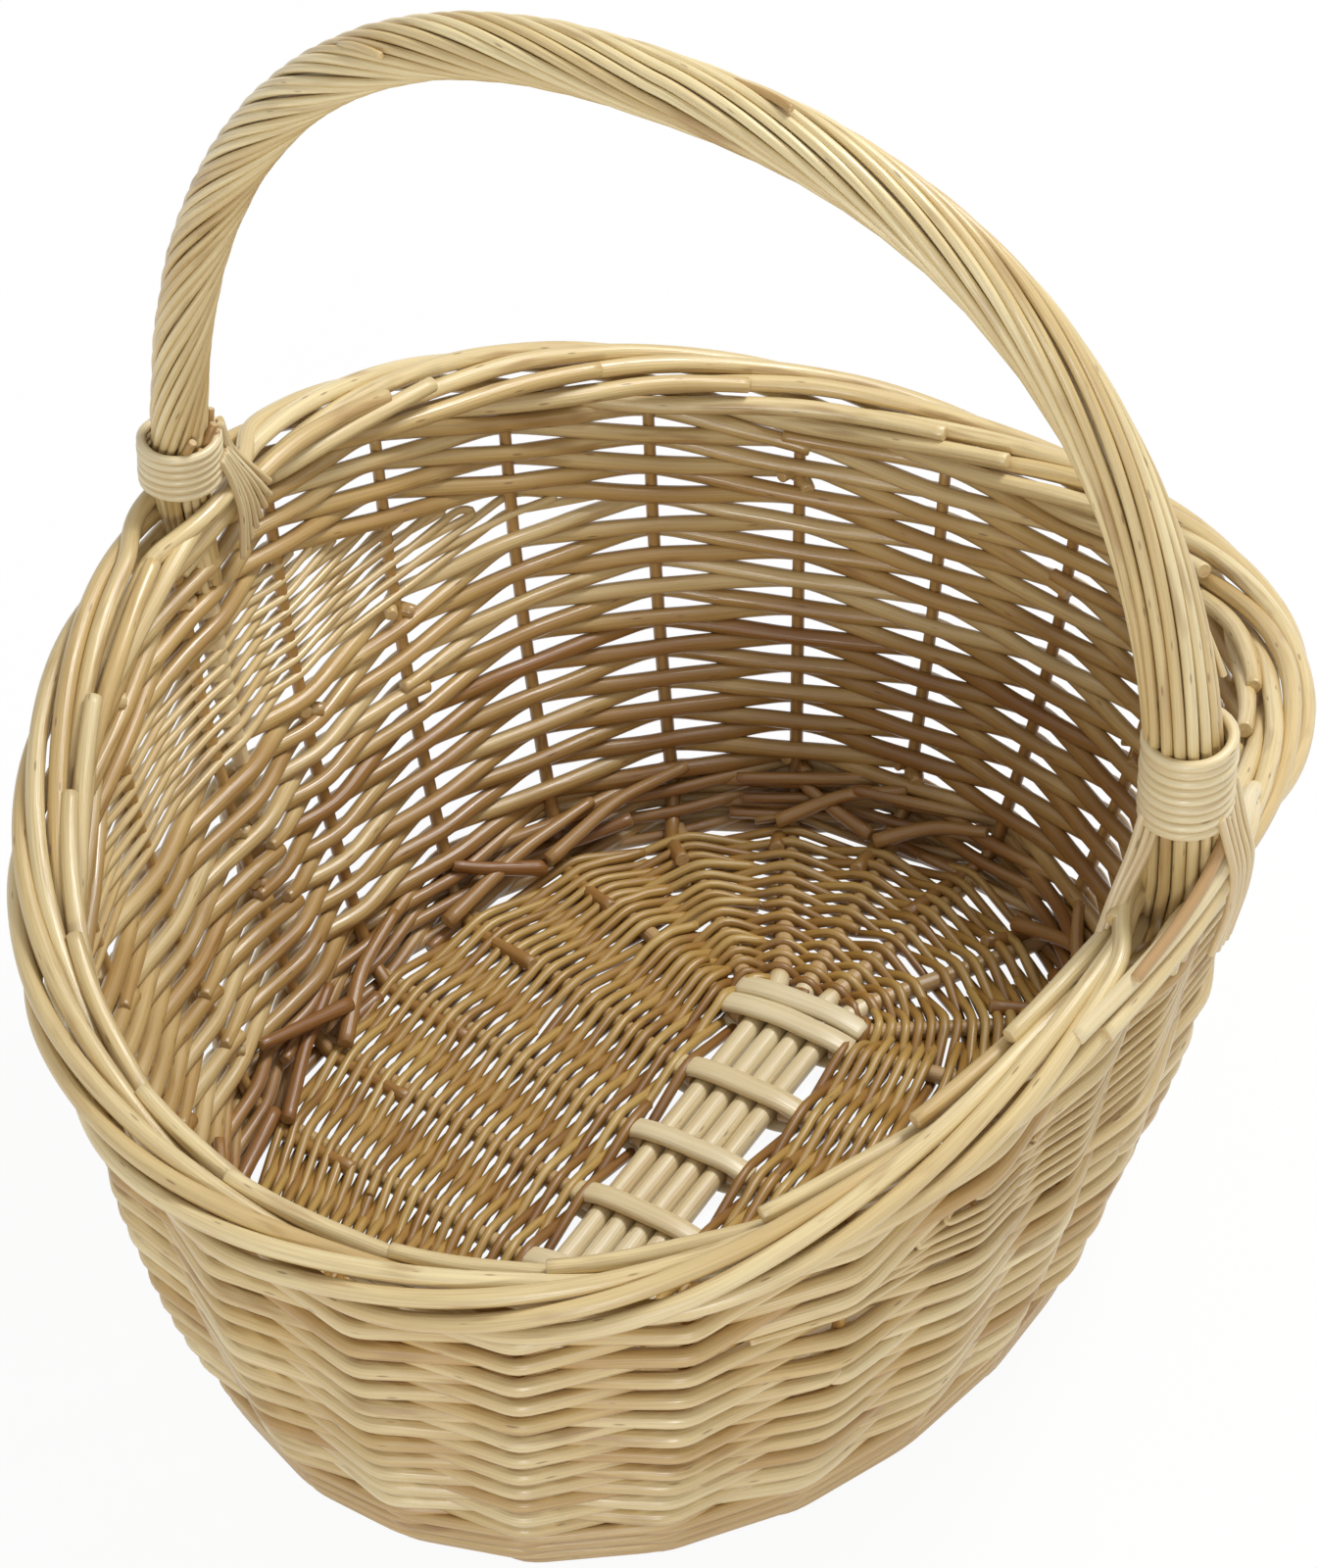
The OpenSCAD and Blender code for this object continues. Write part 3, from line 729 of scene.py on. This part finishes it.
rng = np.random.default_rng(15)
rods = [wale_strand(FOOT_BAND_Z, strand, 4, rng) for strand in range(4)]
piece("willow_foot_wale", rods, FINISHES["umber_willow"], ["foot_wale"])
rods = [wale_strand(z, strand, 3, rng) for z in UPSETT_BANDS_Z for strand in range(3)]
for i in range(STAKES):
    beside_stake, z = i + rng.uniform(-0.2, 0.2), rng.uniform(19, 27)
    run = (-1 if i % 3 == 1 else 1) * rng.uniform(0.6, 1.5)
    rods.append(butt_end(beside_stake, z, run, rng))
piece("willow_upsett_wale", rods, FINISHES["umber_willow"], ["upsett_wale"])

# %% [markdown]
# ## Siding
# The wall is plain weave, worked with one rod at a time: in front of a stake and
# behind the next. A sine wave round the basket would be quick to write, but a stiff rod
# runs straight from one stake to the next and kinks at each, so its path is made of
# corners. A second rod starts where the first ends. Beside the handle a thin packing rod
# goes back and forth and lifts the top rows, so their heights are worked out with it.

# %% Heights of the rows
PACK_PASSES, PACK_THICK, PACK_PITCH = 16, 2.6, 2.75
PACK_AFTER = round(SIDING_ROWS * 0.75)
PASSES = np.arange(1, PACK_PASSES + 1)
PACK_REACH = mix(44, 12, (PASSES - 1) / (PACK_PASSES - 1))    # degrees from the handle
BEATEN, INNER_GRIP = 1.6, 1.5


def pack_high(t):
    """Height of the packing at t: a pitch for each pass that reaches so far."""
    return PACK_PITCH * (PACK_REACH > np.asarray(from_handle(t))[..., None]).sum(-1)


def row_pitch(t):
    """The height that packing leaves, shared by the rows."""
    return (rim_z(t) - BORDER_HIGH / 2 - SIDING_Z0 - pack_high(t)) / SIDING_ROWS


def row_z(t, row):
    """Middle of a row: so many pitches up, plus the packing for the rows above it.

    The rows are beaten down, those at half height most: lower by half a sine wave.
    """
    beaten = BEATEN * np.sin(math.pi * row / SIDING_ROWS)
    return SIDING_Z0 + (row - 0.5) * row_pitch(t) - beaten + (row > PACK_AFTER) * pack_high(t)


def beside(post, z, thick, turn):
    """The middle of a rod at height z: outside the post if its side + turn is even.

    It lies half the post and half the rod out or in, and inside it grips closer.
    """
    post = np.asarray(post)
    side = np.where((post[..., 1] + turn) % 2 == 0, 1, -1)
    off = side * (post[..., 2] + thick / 2) + np.where(side > 0, 0, INNER_GRIP)
    return wall_at(post[..., 0], z, off)


print("a row rises by", round(float(row_pitch(0.0)), 2), "mm at the end of the basket")

# %% Siding rows
SIDING_THICK = 5.4
CRISP_FROM, CRISP_FULL = 80, 140    # towards the near end the bends get crisper


def posts_from(first, count):
    """count posts from number first on, round and round the basket."""
    n = first + np.arange(count)
    posts = POSTS[n % len(POSTS)].copy()
    posts[:, 0] += 2 * math.pi * (n // len(POSTS))
    return posts


def siding_rod(row, first, count, rng):
    """A rod past count posts. Each end lies just past its last post, inside the wall.

    It is painted browner where it passes inside, and in the low rows, most at the far end: painted
    shade.
    """
    posts = posts_from(first, count)
    t = posts[:, 0]
    rise = np.zeros(count)
    rise[[0, -1]] = -0.9, 0.9
    corners = beside(posts, row_z(t, row) + rise, SIDING_THICK, row)
    before, after = posts_from(first - 1, 1)[0, 0], posts_from(first + count, 1)[0, 0]
    t_end = mix(t[[0, -1]], np.array([before, after]), rng.uniform(0.07, 0.12, 2))
    inside = -STAKE_R - SIDING_THICK / 2 + 0.9
    ends = wall_at(t_end, row_z(t[[0, -1]], row) + 2 * rise[[0, -1]], inside)
    corners = np.concatenate([ends[:1], corners, ends[1:]])
    inside_pass_shade = np.concatenate([[1], (posts[:, 1] + row) % 2, [1]])
    corners = np.column_stack([corners, inside_pass_shade])
    crisp, easy = bend(corners, 4.4, 2.0), bend(corners, 10, 2.0)
    path = mix(easy, crisp, np.clip((-crisp[:, :1] - CRISP_FROM) / (CRISP_FULL - CRISP_FROM), 0, 1))
    path, inside_pass_shade = path[:, :3], path[:, 3]
    path[:, 2] += waver(rng, len(path), 0.4, 8)
    thin = np.minimum(1, 0.8 + np.arange(len(path)) / 55)
    thick = SIDING_THICK * np.linspace(1.06, 0.92, len(path)) * thin * thin[::-1]
    low = np.clip(1.15 - row / (0.8 * SIDING_ROWS), 0, 1)
    far = np.clip(0.45 + 1.1 * path[:, 0] / TOP_A, 0, 1)
    # Painted shade: browner on the inside passes, and low in the wall towards the far end.
    tone = rng.uniform(-0.2, 0.75) + 0.75 * inside_pass_shade + 0.8 * low * far
    return rod(path, thick * (1 + waver(rng, len(path), 0.035, 6)), tone, 10)


rng = np.random.default_rng(16)
for row in range(1, SIDING_ROWS + 1):
    node = f"siding_row_{row}"
    first = int(rng.integers(0, len(POSTS)))
    inside = (POSTS[first % len(POSTS), 1] + row) % 2 == 1
    first += 0 if inside else 1
    rods = [siding_rod(row, first, 13, rng), siding_rod(row, first + 12, 15, rng)]
    piece(f"willow_{node}", rods, FINISHES[SLOT_OF[node]], [node])

# %% [markdown]
# ## Packing
# Packing is one thin rod that goes back and forth over the same stakes, each pass a
# little shorter, so that it fills a wedge and lifts the rim. Separate short rods would
# leave cut ends everywhere. So the passes are strung on one path, and at each turn the
# rod crosses to the other side of its last stake.

# %% Packing
def pass_z(t, number):
    """Middle of a pass: the rows under the packing, and then a pitch for each pass."""
    return SIDING_Z0 + PACK_AFTER * row_pitch(t) + (number - 0.5) * PACK_PITCH


def packing_rod(middle, rng):
    """Back and forth past the posts in reach, turning in the gap after the last one.

    Between the last post that a pass reaches and the next post, the rows above slope
    down. A pass runs on until it meets them: the low passes far, the high ones less.
    """
    posts = POSTS[np.abs(POSTS[:, 0] - middle) < math.radians(70)]
    away = np.abs(posts[:, 0] - middle)
    passes_at = (PACK_REACH > np.degrees(away)[:, None]).sum(-1)
    corners = []
    for number in PASSES:
        reached = np.flatnonzero(passes_at >= number)
        way = 1 if number % 2 else -1
        ends = []
        for last, step in ((reached[0], -1), (reached[-1], 1)):
            spare = passes_at[last] - passes_at[last + step]
            run = 0.12 + 0.72 * max(0.0, 1 - (number - passes_at[last + step]) / max(1, spare))
            t_end = mix(posts[last, 0], posts[last + step, 0], run)
            z = mix(pass_z(posts[last, 0], number), pass_z(posts[last + step, 0], number), run)
            side = beside(posts[last], z, PACK_THICK, PACK_AFTER + number)
            other = beside(posts[last], z, PACK_THICK, PACK_AFTER + number + 1)
            shift = wall_at(t_end, z, 0) - wall_at(posts[last, 0], z, 0)
            ends.append(mix(side, other, run) + shift)
        run_z = pass_z(posts[reached, 0], number)
        middle_part = beside(posts[reached], run_z, PACK_THICK, PACK_AFTER + number)
        corners.extend(np.concatenate([ends[:1], middle_part, ends[1:]])[::way])
    path = bend(corners, 3.4, 1.9)
    path[:, 2] += waver(rng, len(path), 0.12, 40)
    return rod(path, PACK_THICK * np.linspace(1.05, 0.92, len(path)), rng.uniform(0.7, 1.2), 8)


rng = np.random.default_rng(17)
for side, foot in (("left", math.pi / 2), ("right", 3 * math.pi / 2)):
    rods = [packing_rod(foot, rng)]
    piece(f"willow_packing_{side}", rods, FINISHES["straw_willow"], [f"packing_{side}"])

# %% [markdown]
# ## Border
# At the top every stake is bent down along the rim and worked in with its neighbours:
# behind one, over to the outside, back in under the others, up again and over, where
# it is cut off. A plaited ring of endless rods would be simpler, but it would show no
# cut ends and no slant. All twenty-four stakes go the same way, so one way is written
# once and turned to each stake.

# %% Border rods
BORDER_WAY = np.array([
    [0, 0, -11], [0.35, -1.2, -6.2], [0.9, -3.6, -2.6], [1.5, -3.4, 2.6], [2.1, -1.2, 6.3],
    [2.8, 2.4, 7.2], [3.5, 6.4, 4.8], [4.1, 8.4, 0.6], [4.7, 7.8, -4.2], [5.15, 4.0, -7.0],
    [5.6, -2.0, -7.6], [6.0, -6.6, -5.4], [6.5, -8.6, -1.0], [7.0, -8.2, 3.4], [7.7, -6.4, 6.9]])
BORDER_THICK = 5.3


def border_path(i, way):
    """way holds stakes passed, out from the middle of the border, and up from it.

    A rod passes a foot of the handle on the side it is on there: at least room - (degrees
    / 2.4) squared out, where room is what the bow needs at that height.
    """
    t = stake_t(i - way[:, 0])
    out = way[:, 1].copy()
    for quarters in (-3, -1, 1, 3):
        away = np.degrees(t - quarters * math.pi / 2)
        close = np.abs(away) < 15
        if close.any():
            side = np.sign(np.interp(0, -away, out)) if close.sum() > 1 else 0
            room = np.interp(way[:, 2], [0, 7], [6.4, 10.2]) - (away / 2.4) ** 2
            out = np.where(close & (side != 0), side * np.maximum(side * out, room), out)
    a, b = RIM_L / 2 - BORDER_W / 2, RIM_W / 2 - BORDER_W / 2
    plan = oval(t, a, b, RIM_CURVE) + out[:, None] * outward(t, a, b, RIM_CURVE)
    return np.concatenate([plan, (rim_z(t) + way[:, 2])[:, None]], -1)


def smooth_way(way):
    """The way as a rounded curve: bend, with each stake passed counted as the gap."""
    return bend(way * (GAP, 1, 1), 16, 0.06 * GAP) / (GAP, 1, 1)


rng = np.random.default_rng(18)
rods = []
for i in range(STAKES):
    way = BORDER_WAY.copy()
    way[1:, 1:] += rng.uniform(-0.7, 0.7, (len(way) - 1, 2))
    way[-1, 0] += rng.uniform(-0.35, 0.35)
    path = bend(border_path(i, smooth_way(way)), 9, 2.8)
    taper = np.interp(np.linspace(0, 1, len(path)), [0, 0.15, 0.9, 1], [0.8, 1.0, 1.04, 0.9])
    thick = BORDER_THICK * taper * (1 + waver(rng, len(path), 0.025, 4))
    rods.append(rod(path, thick, rng.uniform(), 12))
piece("willow_border_rods", rods, FINISHES["straw_willow"], ["border_rods"])

# %% [markdown]
# ## Handle
# A stout bow is pushed down into both walls. Sets of thin rods start beside one foot,
# wind round the bow like the strands of a rope, and end beside the other. The bow is
# half an oval by formula, and every place on the rope is asked of it, so bow and rope
# can't drift apart as two curves drawn by hand would.

# %% The bow
BOW_HALF = RIM_W / 2 - 10
BOW_FOOT_Z = float(rim_z(math.pi / 2)) + BORDER_HIGH / 2
BOW_TOP_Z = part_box("handle_roping")[1].z / MM - 8.4
# Radius over the roping and thickness of a strand, each from the left foot to the right.
HANDLE_R = ([0, 0.2, 0.5, 0.8, 1], [8.0, 8.5, 9.3, 9.6, 11.2])
STRAND_THICK = ([0, 0.3, 0.6, 1], [2.55, 2.7, 2.9, 3.3])
LEG_THICK, LEG_TIP = 6.8, 3.4


def arch(part):
    """The middle of the bow: half an oval in the plane x = 0, from left to right."""
    plan = oval(math.pi * np.asarray(part), BOW_HALF, BOW_TOP_Z - BOW_FOOT_Z, HANDLE_CURVE)
    return np.stack([np.zeros(plan.shape[:-1]), plan[..., 0], BOW_FOOT_Z + plan[..., 1]], -1)


dense = np.linspace(0, 1, 801)
lengths = np.concatenate([[0], np.cumsum(np.linalg.norm(np.diff(arch(dense), axis=0), axis=1))])


def arch_part(share):
    """The part that lies the given share of the way along the bow."""
    return np.interp(share * lengths[-1], lengths, dense)


part = arch_part(np.linspace(0, 1, 90))
bow_thick = 2 * np.interp(part, *HANDLE_R) - 2 * np.interp(part, *STRAND_THICK)
legs = wall(math.pi / 2, np.array([0.42, 0.7, 0.97]), 0)
left, right = legs * (0, 1, 1), (legs * (0, -1, 1))[::-1]
corners = np.concatenate([left, arch(part), right])
leg_thick = [LEG_TIP, LEG_THICK, LEG_THICK]
thick = np.concatenate([leg_thick, bow_thick, leg_thick[::-1]])
path = bend(np.column_stack([corners, thick]), 12, 5)
piece("willow_handle_bow", [rod(path[:, :3], path[:, 3], 0.4, 16, ref=(1.0, 0, 0))],
      FINISHES["pale_willow"], ["handle_bow"])

# %% [markdown]
# ## Roping
# The strands lie side by side and hide the bow. They wind tightly at the left foot and
# open out over the top to the right one. A screw modifier winds evenly, so the turn is
# worked out here, as a power of the part of the way that is left.

# %% Roping
STRANDS, ROPING_TURNS, ROPING_EASE = 16, 2.7, 1.9
# Points below a foot: height from it, and distance from the bow as a share of that there.
BELOW = np.array([[-34, 0.68], [-22, 0.78], [-12, 0.9], [-4, 0.98]])
# Late rods: strand, share of the way, tone. Stout ones start at the left foot.
STOUT_BUTTS = ((8.3, 0.022, 1.5), (9.5, 0.014, 1.9), (10.5, 0.024, 1.7), (11.6, 0.016, 1.9),
               (12.7, 0.022, 1.6))
THIN_BUTTS = ((14.5, 0.33, 0.6), (2.5, 0.53, 1.4), (7.5, 0.86, 0.5))


def roped(strand, share, rise=0.0):
    """A strand: the bow's middle plus its radius, turned about the bow.

    The turn is strand / STRANDS + turns (1 - (1 - part) ^ ease) of a full turn.
    """
    part = arch_part(share)
    way = arch(np.minimum(1, part + 0.01)) - arch(np.maximum(0, part - 0.01))
    way /= np.linalg.norm(way, axis=-1, keepdims=True)
    side = np.array([1.0, 0, 0])
    up = np.cross(way, side)
    q = 2 * math.pi * (strand / STRANDS + ROPING_TURNS * (1 - (1 - part) ** ROPING_EASE))
    out = np.cos(q)[..., None] * side + np.sin(q)[..., None] * up
    middle = np.interp(part, *HANDLE_R) - np.interp(part, *STRAND_THICK) / 2
    return arch(part) + (middle + rise)[..., None] * out, out


def roping_strand(strand, rng):
    """One strand from foot to foot, with a slow waver in its place and height.

    At each foot it goes on down beside the bow, and closes in on it.
    """
    share = np.linspace(0, 1, 300)
    drift = strand + rng.uniform(-0.12, 0.12) + waver(rng, len(share), 0.1, 3)
    path, out = roped(drift, share, waver(rng, len(share), 0.14, 5))
    thick = np.interp(share, *STRAND_THICK) * rng.uniform(0.94, 1.06)
    below = BELOW.copy()
    below[0, 0] += rng.uniform(-6, 6)
    feet = []
    for end, side in ((0, 1), (-1, -1)):
        offset = path[end] - (0, side * BOW_HALF, BOW_FOOT_Z)
        middle = wall_at(math.pi / 2, BOW_FOOT_Z + below[:, 0], 0) * (0, side, 1)
        inward = np.clip(-below[:, 0] / 26, 0, 1)
        middle[:, 1] = side * mix(BOW_HALF, np.abs(middle[:, 1]), inward)
        feet.append(middle + offset * below[:, 1:])
    path = np.concatenate([feet[0], path, feet[1][::-1]])
    thick = np.pad(thick, len(below), mode="edge")
    out = np.pad(out, ((len(below), len(below)), (0, 0)), mode="edge")
    # Painted light: the strands are paler over the top of the bow, where the light falls.
    tone = rng.uniform(0.2, 1.1) - 0.55 * np.sin(math.pi * np.linspace(0, 1, len(path)))
    return rod(path, thick * (1 + waver(rng, len(path), 0.02, 5)), tone, 10, ref=out)


def roping_butt(strand, share, tone, length, thick):
    """The cut end of a thin rod that was laid in late: it lifts off the rope a little."""
    steps = share + np.linspace(0, length, 7)
    path, out = roped(strand, steps, np.linspace(0.3, 2.6, 7) ** 1.2)
    return rod(path, thick, tone, 8, ref=out)


rng = np.random.default_rng(19)
rods = [roping_strand(k, rng) for k in range(STRANDS)]
rods += [roping_butt(*place, 0.02, 2.7) for place in STOUT_BUTTS]
rods += [roping_butt(*place, 0.03, 2.2) for place in THIN_BUTTS]
piece("willow_handle_roping", rods, FINISHES["straw_willow"], ["handle_roping"])

# %% [markdown]
# ## Bindings
# A split rod is wrapped round each foot of the handle just over the border. Rings
# stacked up would look much the same, but one coil climbs as it goes round, and its two
# ends show.

# %% Bindings
WRAP_STEPS, WRAP_CLOSE = 36, 0.93    # points round a wrap, and its rise over its thickness


def binding(side, turns, radius, up, each, rng):
    """A coil round the foot from a height up: each wrap is about its thickness higher."""
    n = int(turns * WRAP_STEPS)
    q = 2 * math.pi * np.arange(n + 1) / WRAP_STEPS
    z = BOW_FOOT_Z + up + q / (2 * math.pi) * (each * WRAP_CLOSE)
    r = radius + waver(rng, n + 1, 0.25, turns)
    y = side * BOW_HALF + r * np.sin(q)
    path = np.stack([r * np.cos(q), y, z + waver(rng, n + 1, 0.25, turns)], -1)
    return rod(path, each * (1.06 + waver(rng, n + 1, 0.04, turns)), rng.uniform(), 8)


rng = np.random.default_rng(20)
coil = binding(1, 6.2, 10.8, 4.0, 2.8, rng)
piece("willow_binding_left", [coil], FINISHES["pale_willow"], ["binding_left"])
coil = binding(-1, 9.1, 11.4, 20.5, 3.3, rng)
piece("willow_binding_right", [coil], FINISHES["pale_willow"], ["binding_right"])

# %% [markdown]
# ## Ties
# The ends of the bindings are brought down over the border as fans of thin rods and
# tucked into the wall. Strands drawn one by one would be many lists of points. So only
# the first and last strand of a fan are written, and those between are a mix of the two.
# At the right foot three stakes' tops cross over the border, outside the handle.

# %% Ties
def band(first, last, count, thick, rng):
    """count strands side by side, spread from the way first to the way last."""
    first, last = np.asarray(first, float), np.asarray(last, float)
    rods = []
    for k in range(count):
        way = mix(first, last, k / (count - 1)) + rng.uniform(-0.3, 0.3, first.shape)
        rods.append((bend(way, 7, 1.8), thick * rng.uniform(0.9, 1.1), rng.uniform()))
    return rods


def ties(side, bands):
    """A way is [along x, out from the bow, up from its foot]; the strands become rods."""
    place = np.array([0, side * BOW_HALF, BOW_FOOT_Z])
    return [rod(way * (1, side, 1) + place, thick, tone, 8, ref=(1.0, 0.2, 0))
            for way, thick, tone in bands]


def crossing(way, thick, tone):
    """A stake's top that passes outside the right foot of the handle, over the border."""
    path = bend(np.array(way) * (1, -1, 1) + (0, -BOW_HALF, BOW_FOOT_Z), 14, 2.5)
    return rod(path, thick, tone, 10)


rng = np.random.default_rng(21)
fan = band([[3, -11.5, 12], [7, -12.5, 3], [9, -14, -10], [8, -14, -26]],
           [[9, -9.5, 12], [13, -11.5, 4], [18, -13, -5], [25, -13, -16]], 7, 1.9, rng)
skein = band([[8, -9.0, 21], [10.5, -9.5, 10], [16, -12, -1], [23, -13.5, -13]],
             [[9.5, -7.5, 21], [12, -8.5, 10], [18, -11, 0], [25, -12.5, -11]], 2, 2.2, rng)
piece("willow_ties_left", ties(1, fan + skein), FINISHES["pale_willow"], ["ties_left"])
strap = band([[-4, 12.2, 26], [-3, 14.4, 16], [-2, 16.6, 6], [-1, 14.8, -9], [1, 10, -28]],
             [[8, 10, 31], [9, 12.4, 18], [10, 15.8, 6], [11, 14.2, -9], [12, 9.5, -29]], 5, 2.5, rng)
inner = band([[-10, -7.5, 24], [-13, -9, 12], [-19, -11, 1], [-26, -11, -8]],
             [[-8, -3.5, 24], [-11, -5, 12], [-17, -7.5, 2], [-23, -8.5, -5]], 3, 2.3, rng)
tops = [crossing([[-60, 0, -12], [-36, 6.5, -5], [-16, 11.5, 3], [2, 13.4, 10],
                  [14, 11, 12], [28, 5, 5], [44, 0, -7]], 5.2, 0.5),
        crossing([[-52, 5, -15], [-28, 10, -8], [-10, 13, -1], [6, 13.6, 5],
                  [18, 11, 7], [32, 5, -1]], 5.2, 0.9),
        crossing([[-40, 7, -4], [-22, 11, 4], [-6, 12.8, 13], [5, 11.5, 19],
                  [12, 7, 24]], 3.4, 2.0)]
piece("willow_ties_right", ties(-1, strap + inner) + tops, FINISHES["pale_willow"], ["ties_right"])

# %% [markdown]
# ## Floor
# The floor is plain and pale, and so wide that no edge of it is seen. A white floor
# lit by lamps would turn grey away from them. So to the camera it shines white, by
# Light Path, with a small part of its real shading mixed in so that the shadow stays.

# %% Floor
FLOOR_REACH, FLOOR_Z, WHITE_SHARE = 30.0, -0.0003, 0.94


def white_floor():
    """White to the camera and in gloss, mixed with a share of plain diffuse white."""
    finish = bpy.data.materials.new("white_floor")
    finish.use_nodes = True
    tree = finish.node_tree
    tree.nodes.remove(tree.nodes["Principled BSDF"])
    rays = tree.nodes.new("ShaderNodeLightPath").outputs
    seen = rays["Is Camera Ray"]
    for kind in ("Is Glossy Ray", "Is Transmission Ray"):
        seen = combine(tree, "MAXIMUM", seen, rays[kind])
    share = combine(tree, "MULTIPLY", seen, WHITE_SHARE)
    plain = add_node(tree, "ShaderNodeBsdfDiffuse", {"Color": (0.85, 0.85, 0.85, 1)}).outputs[0]
    white = add_node(tree, "ShaderNodeEmission", {"Color": (1, 1, 1, 1), "Strength": 1.0}).outputs[0]
    both = add_node(tree, "ShaderNodeMixShader", {0: share, 1: plain, 2: white})
    give(tree, tree.nodes["Material Output"].inputs["Surface"], both.outputs[0])
    return finish


floor_mesh = bpy.data.meshes.new("floor")
floor_mesh.from_pydata([(x * FLOOR_REACH, y * FLOOR_REACH, FLOOR_Z)
                        for x, y in ((-1, -1), (1, -1), (1, 1), (-1, 1))], [], [(0, 1, 2, 3)])
floor = bpy.data.objects.new("floor", floor_mesh)
bpy.context.scene.collection.objects.link(floor)
floor_mesh.materials.append(white_floor())
print("the floor is", 2 * FLOOR_REACH, "m wide")

# %% [markdown]
# ## Light
# A studio lights a basket softly from all round, so that the inside stays readable.
# Many lamps could do that, but an even white sky does it with one value. A small lamp
# low in front, a little to the left, then lights the near wall and draws a bright line
# along each rod, and a wider one high behind the basket on the right puts light on the
# tops of the rods and shadows between them.

# %% Light
SKY_STRENGTH = 0.55
sky = bpy.data.worlds.new("studio_sky")
sky.use_nodes = True
background = sky.node_tree.nodes["Background"]
background.inputs["Color"].default_value = (1, 1, 1, 1)
background.inputs["Strength"].default_value = SKY_STRENGTH
bpy.context.scene.world = sky


def soft_lamp(name, place, size, watts):
    """A square area lamp that looks at the middle of the base."""
    data = bpy.data.lights.new(name, "AREA")
    data.size, data.energy = size, watts
    lamp = bpy.data.objects.new(name, data)
    bpy.context.scene.collection.objects.link(lamp)
    lamp.location = place
    lamp.rotation_euler = (-Vector(place)).to_track_quat("-Z", "Y").to_euler()
    return lamp


lamps = [soft_lamp("front_lamp", (-2.05, -0.85, 0.7), 0.3, 13.8),
         soft_lamp("top_lamp", (1.0, -0.5, 2.15), 0.7, 38)]
print("lamps:", [lamp.name for lamp in lamps])

# %% [markdown]
# ## Camera
# The basket is seen from above one end, a little from the side, through a long lens that
# keeps its oval true. The camera's place is worked out from two angles and a distance,
# which are easier to change than three coordinates.

# %% Camera
TARGET = np.array([0.0095, 0.0084, 0.1426])
DISTANCE, AZIMUTH, ELEVATION = 2.1385, math.radians(-60.29), math.radians(42.64)
back = np.array([math.sin(AZIMUTH) * math.cos(ELEVATION),
                 -math.cos(AZIMUTH) * math.cos(ELEVATION), math.sin(ELEVATION)])
camera_data = bpy.data.cameras.new("camera")
camera_data.lens, camera_data.sensor_width = 176.06, 36.0
camera = bpy.data.objects.new("camera", camera_data)
bpy.context.scene.collection.objects.link(camera)
camera.location = TARGET + DISTANCE * back
camera.rotation_euler = Vector(back).to_track_quat("Z", "Y").to_euler()
bpy.context.scene.camera = camera
bpy.context.scene.view_settings.view_transform = "Standard"
print("camera at", [round(v, 3) for v in camera.location])
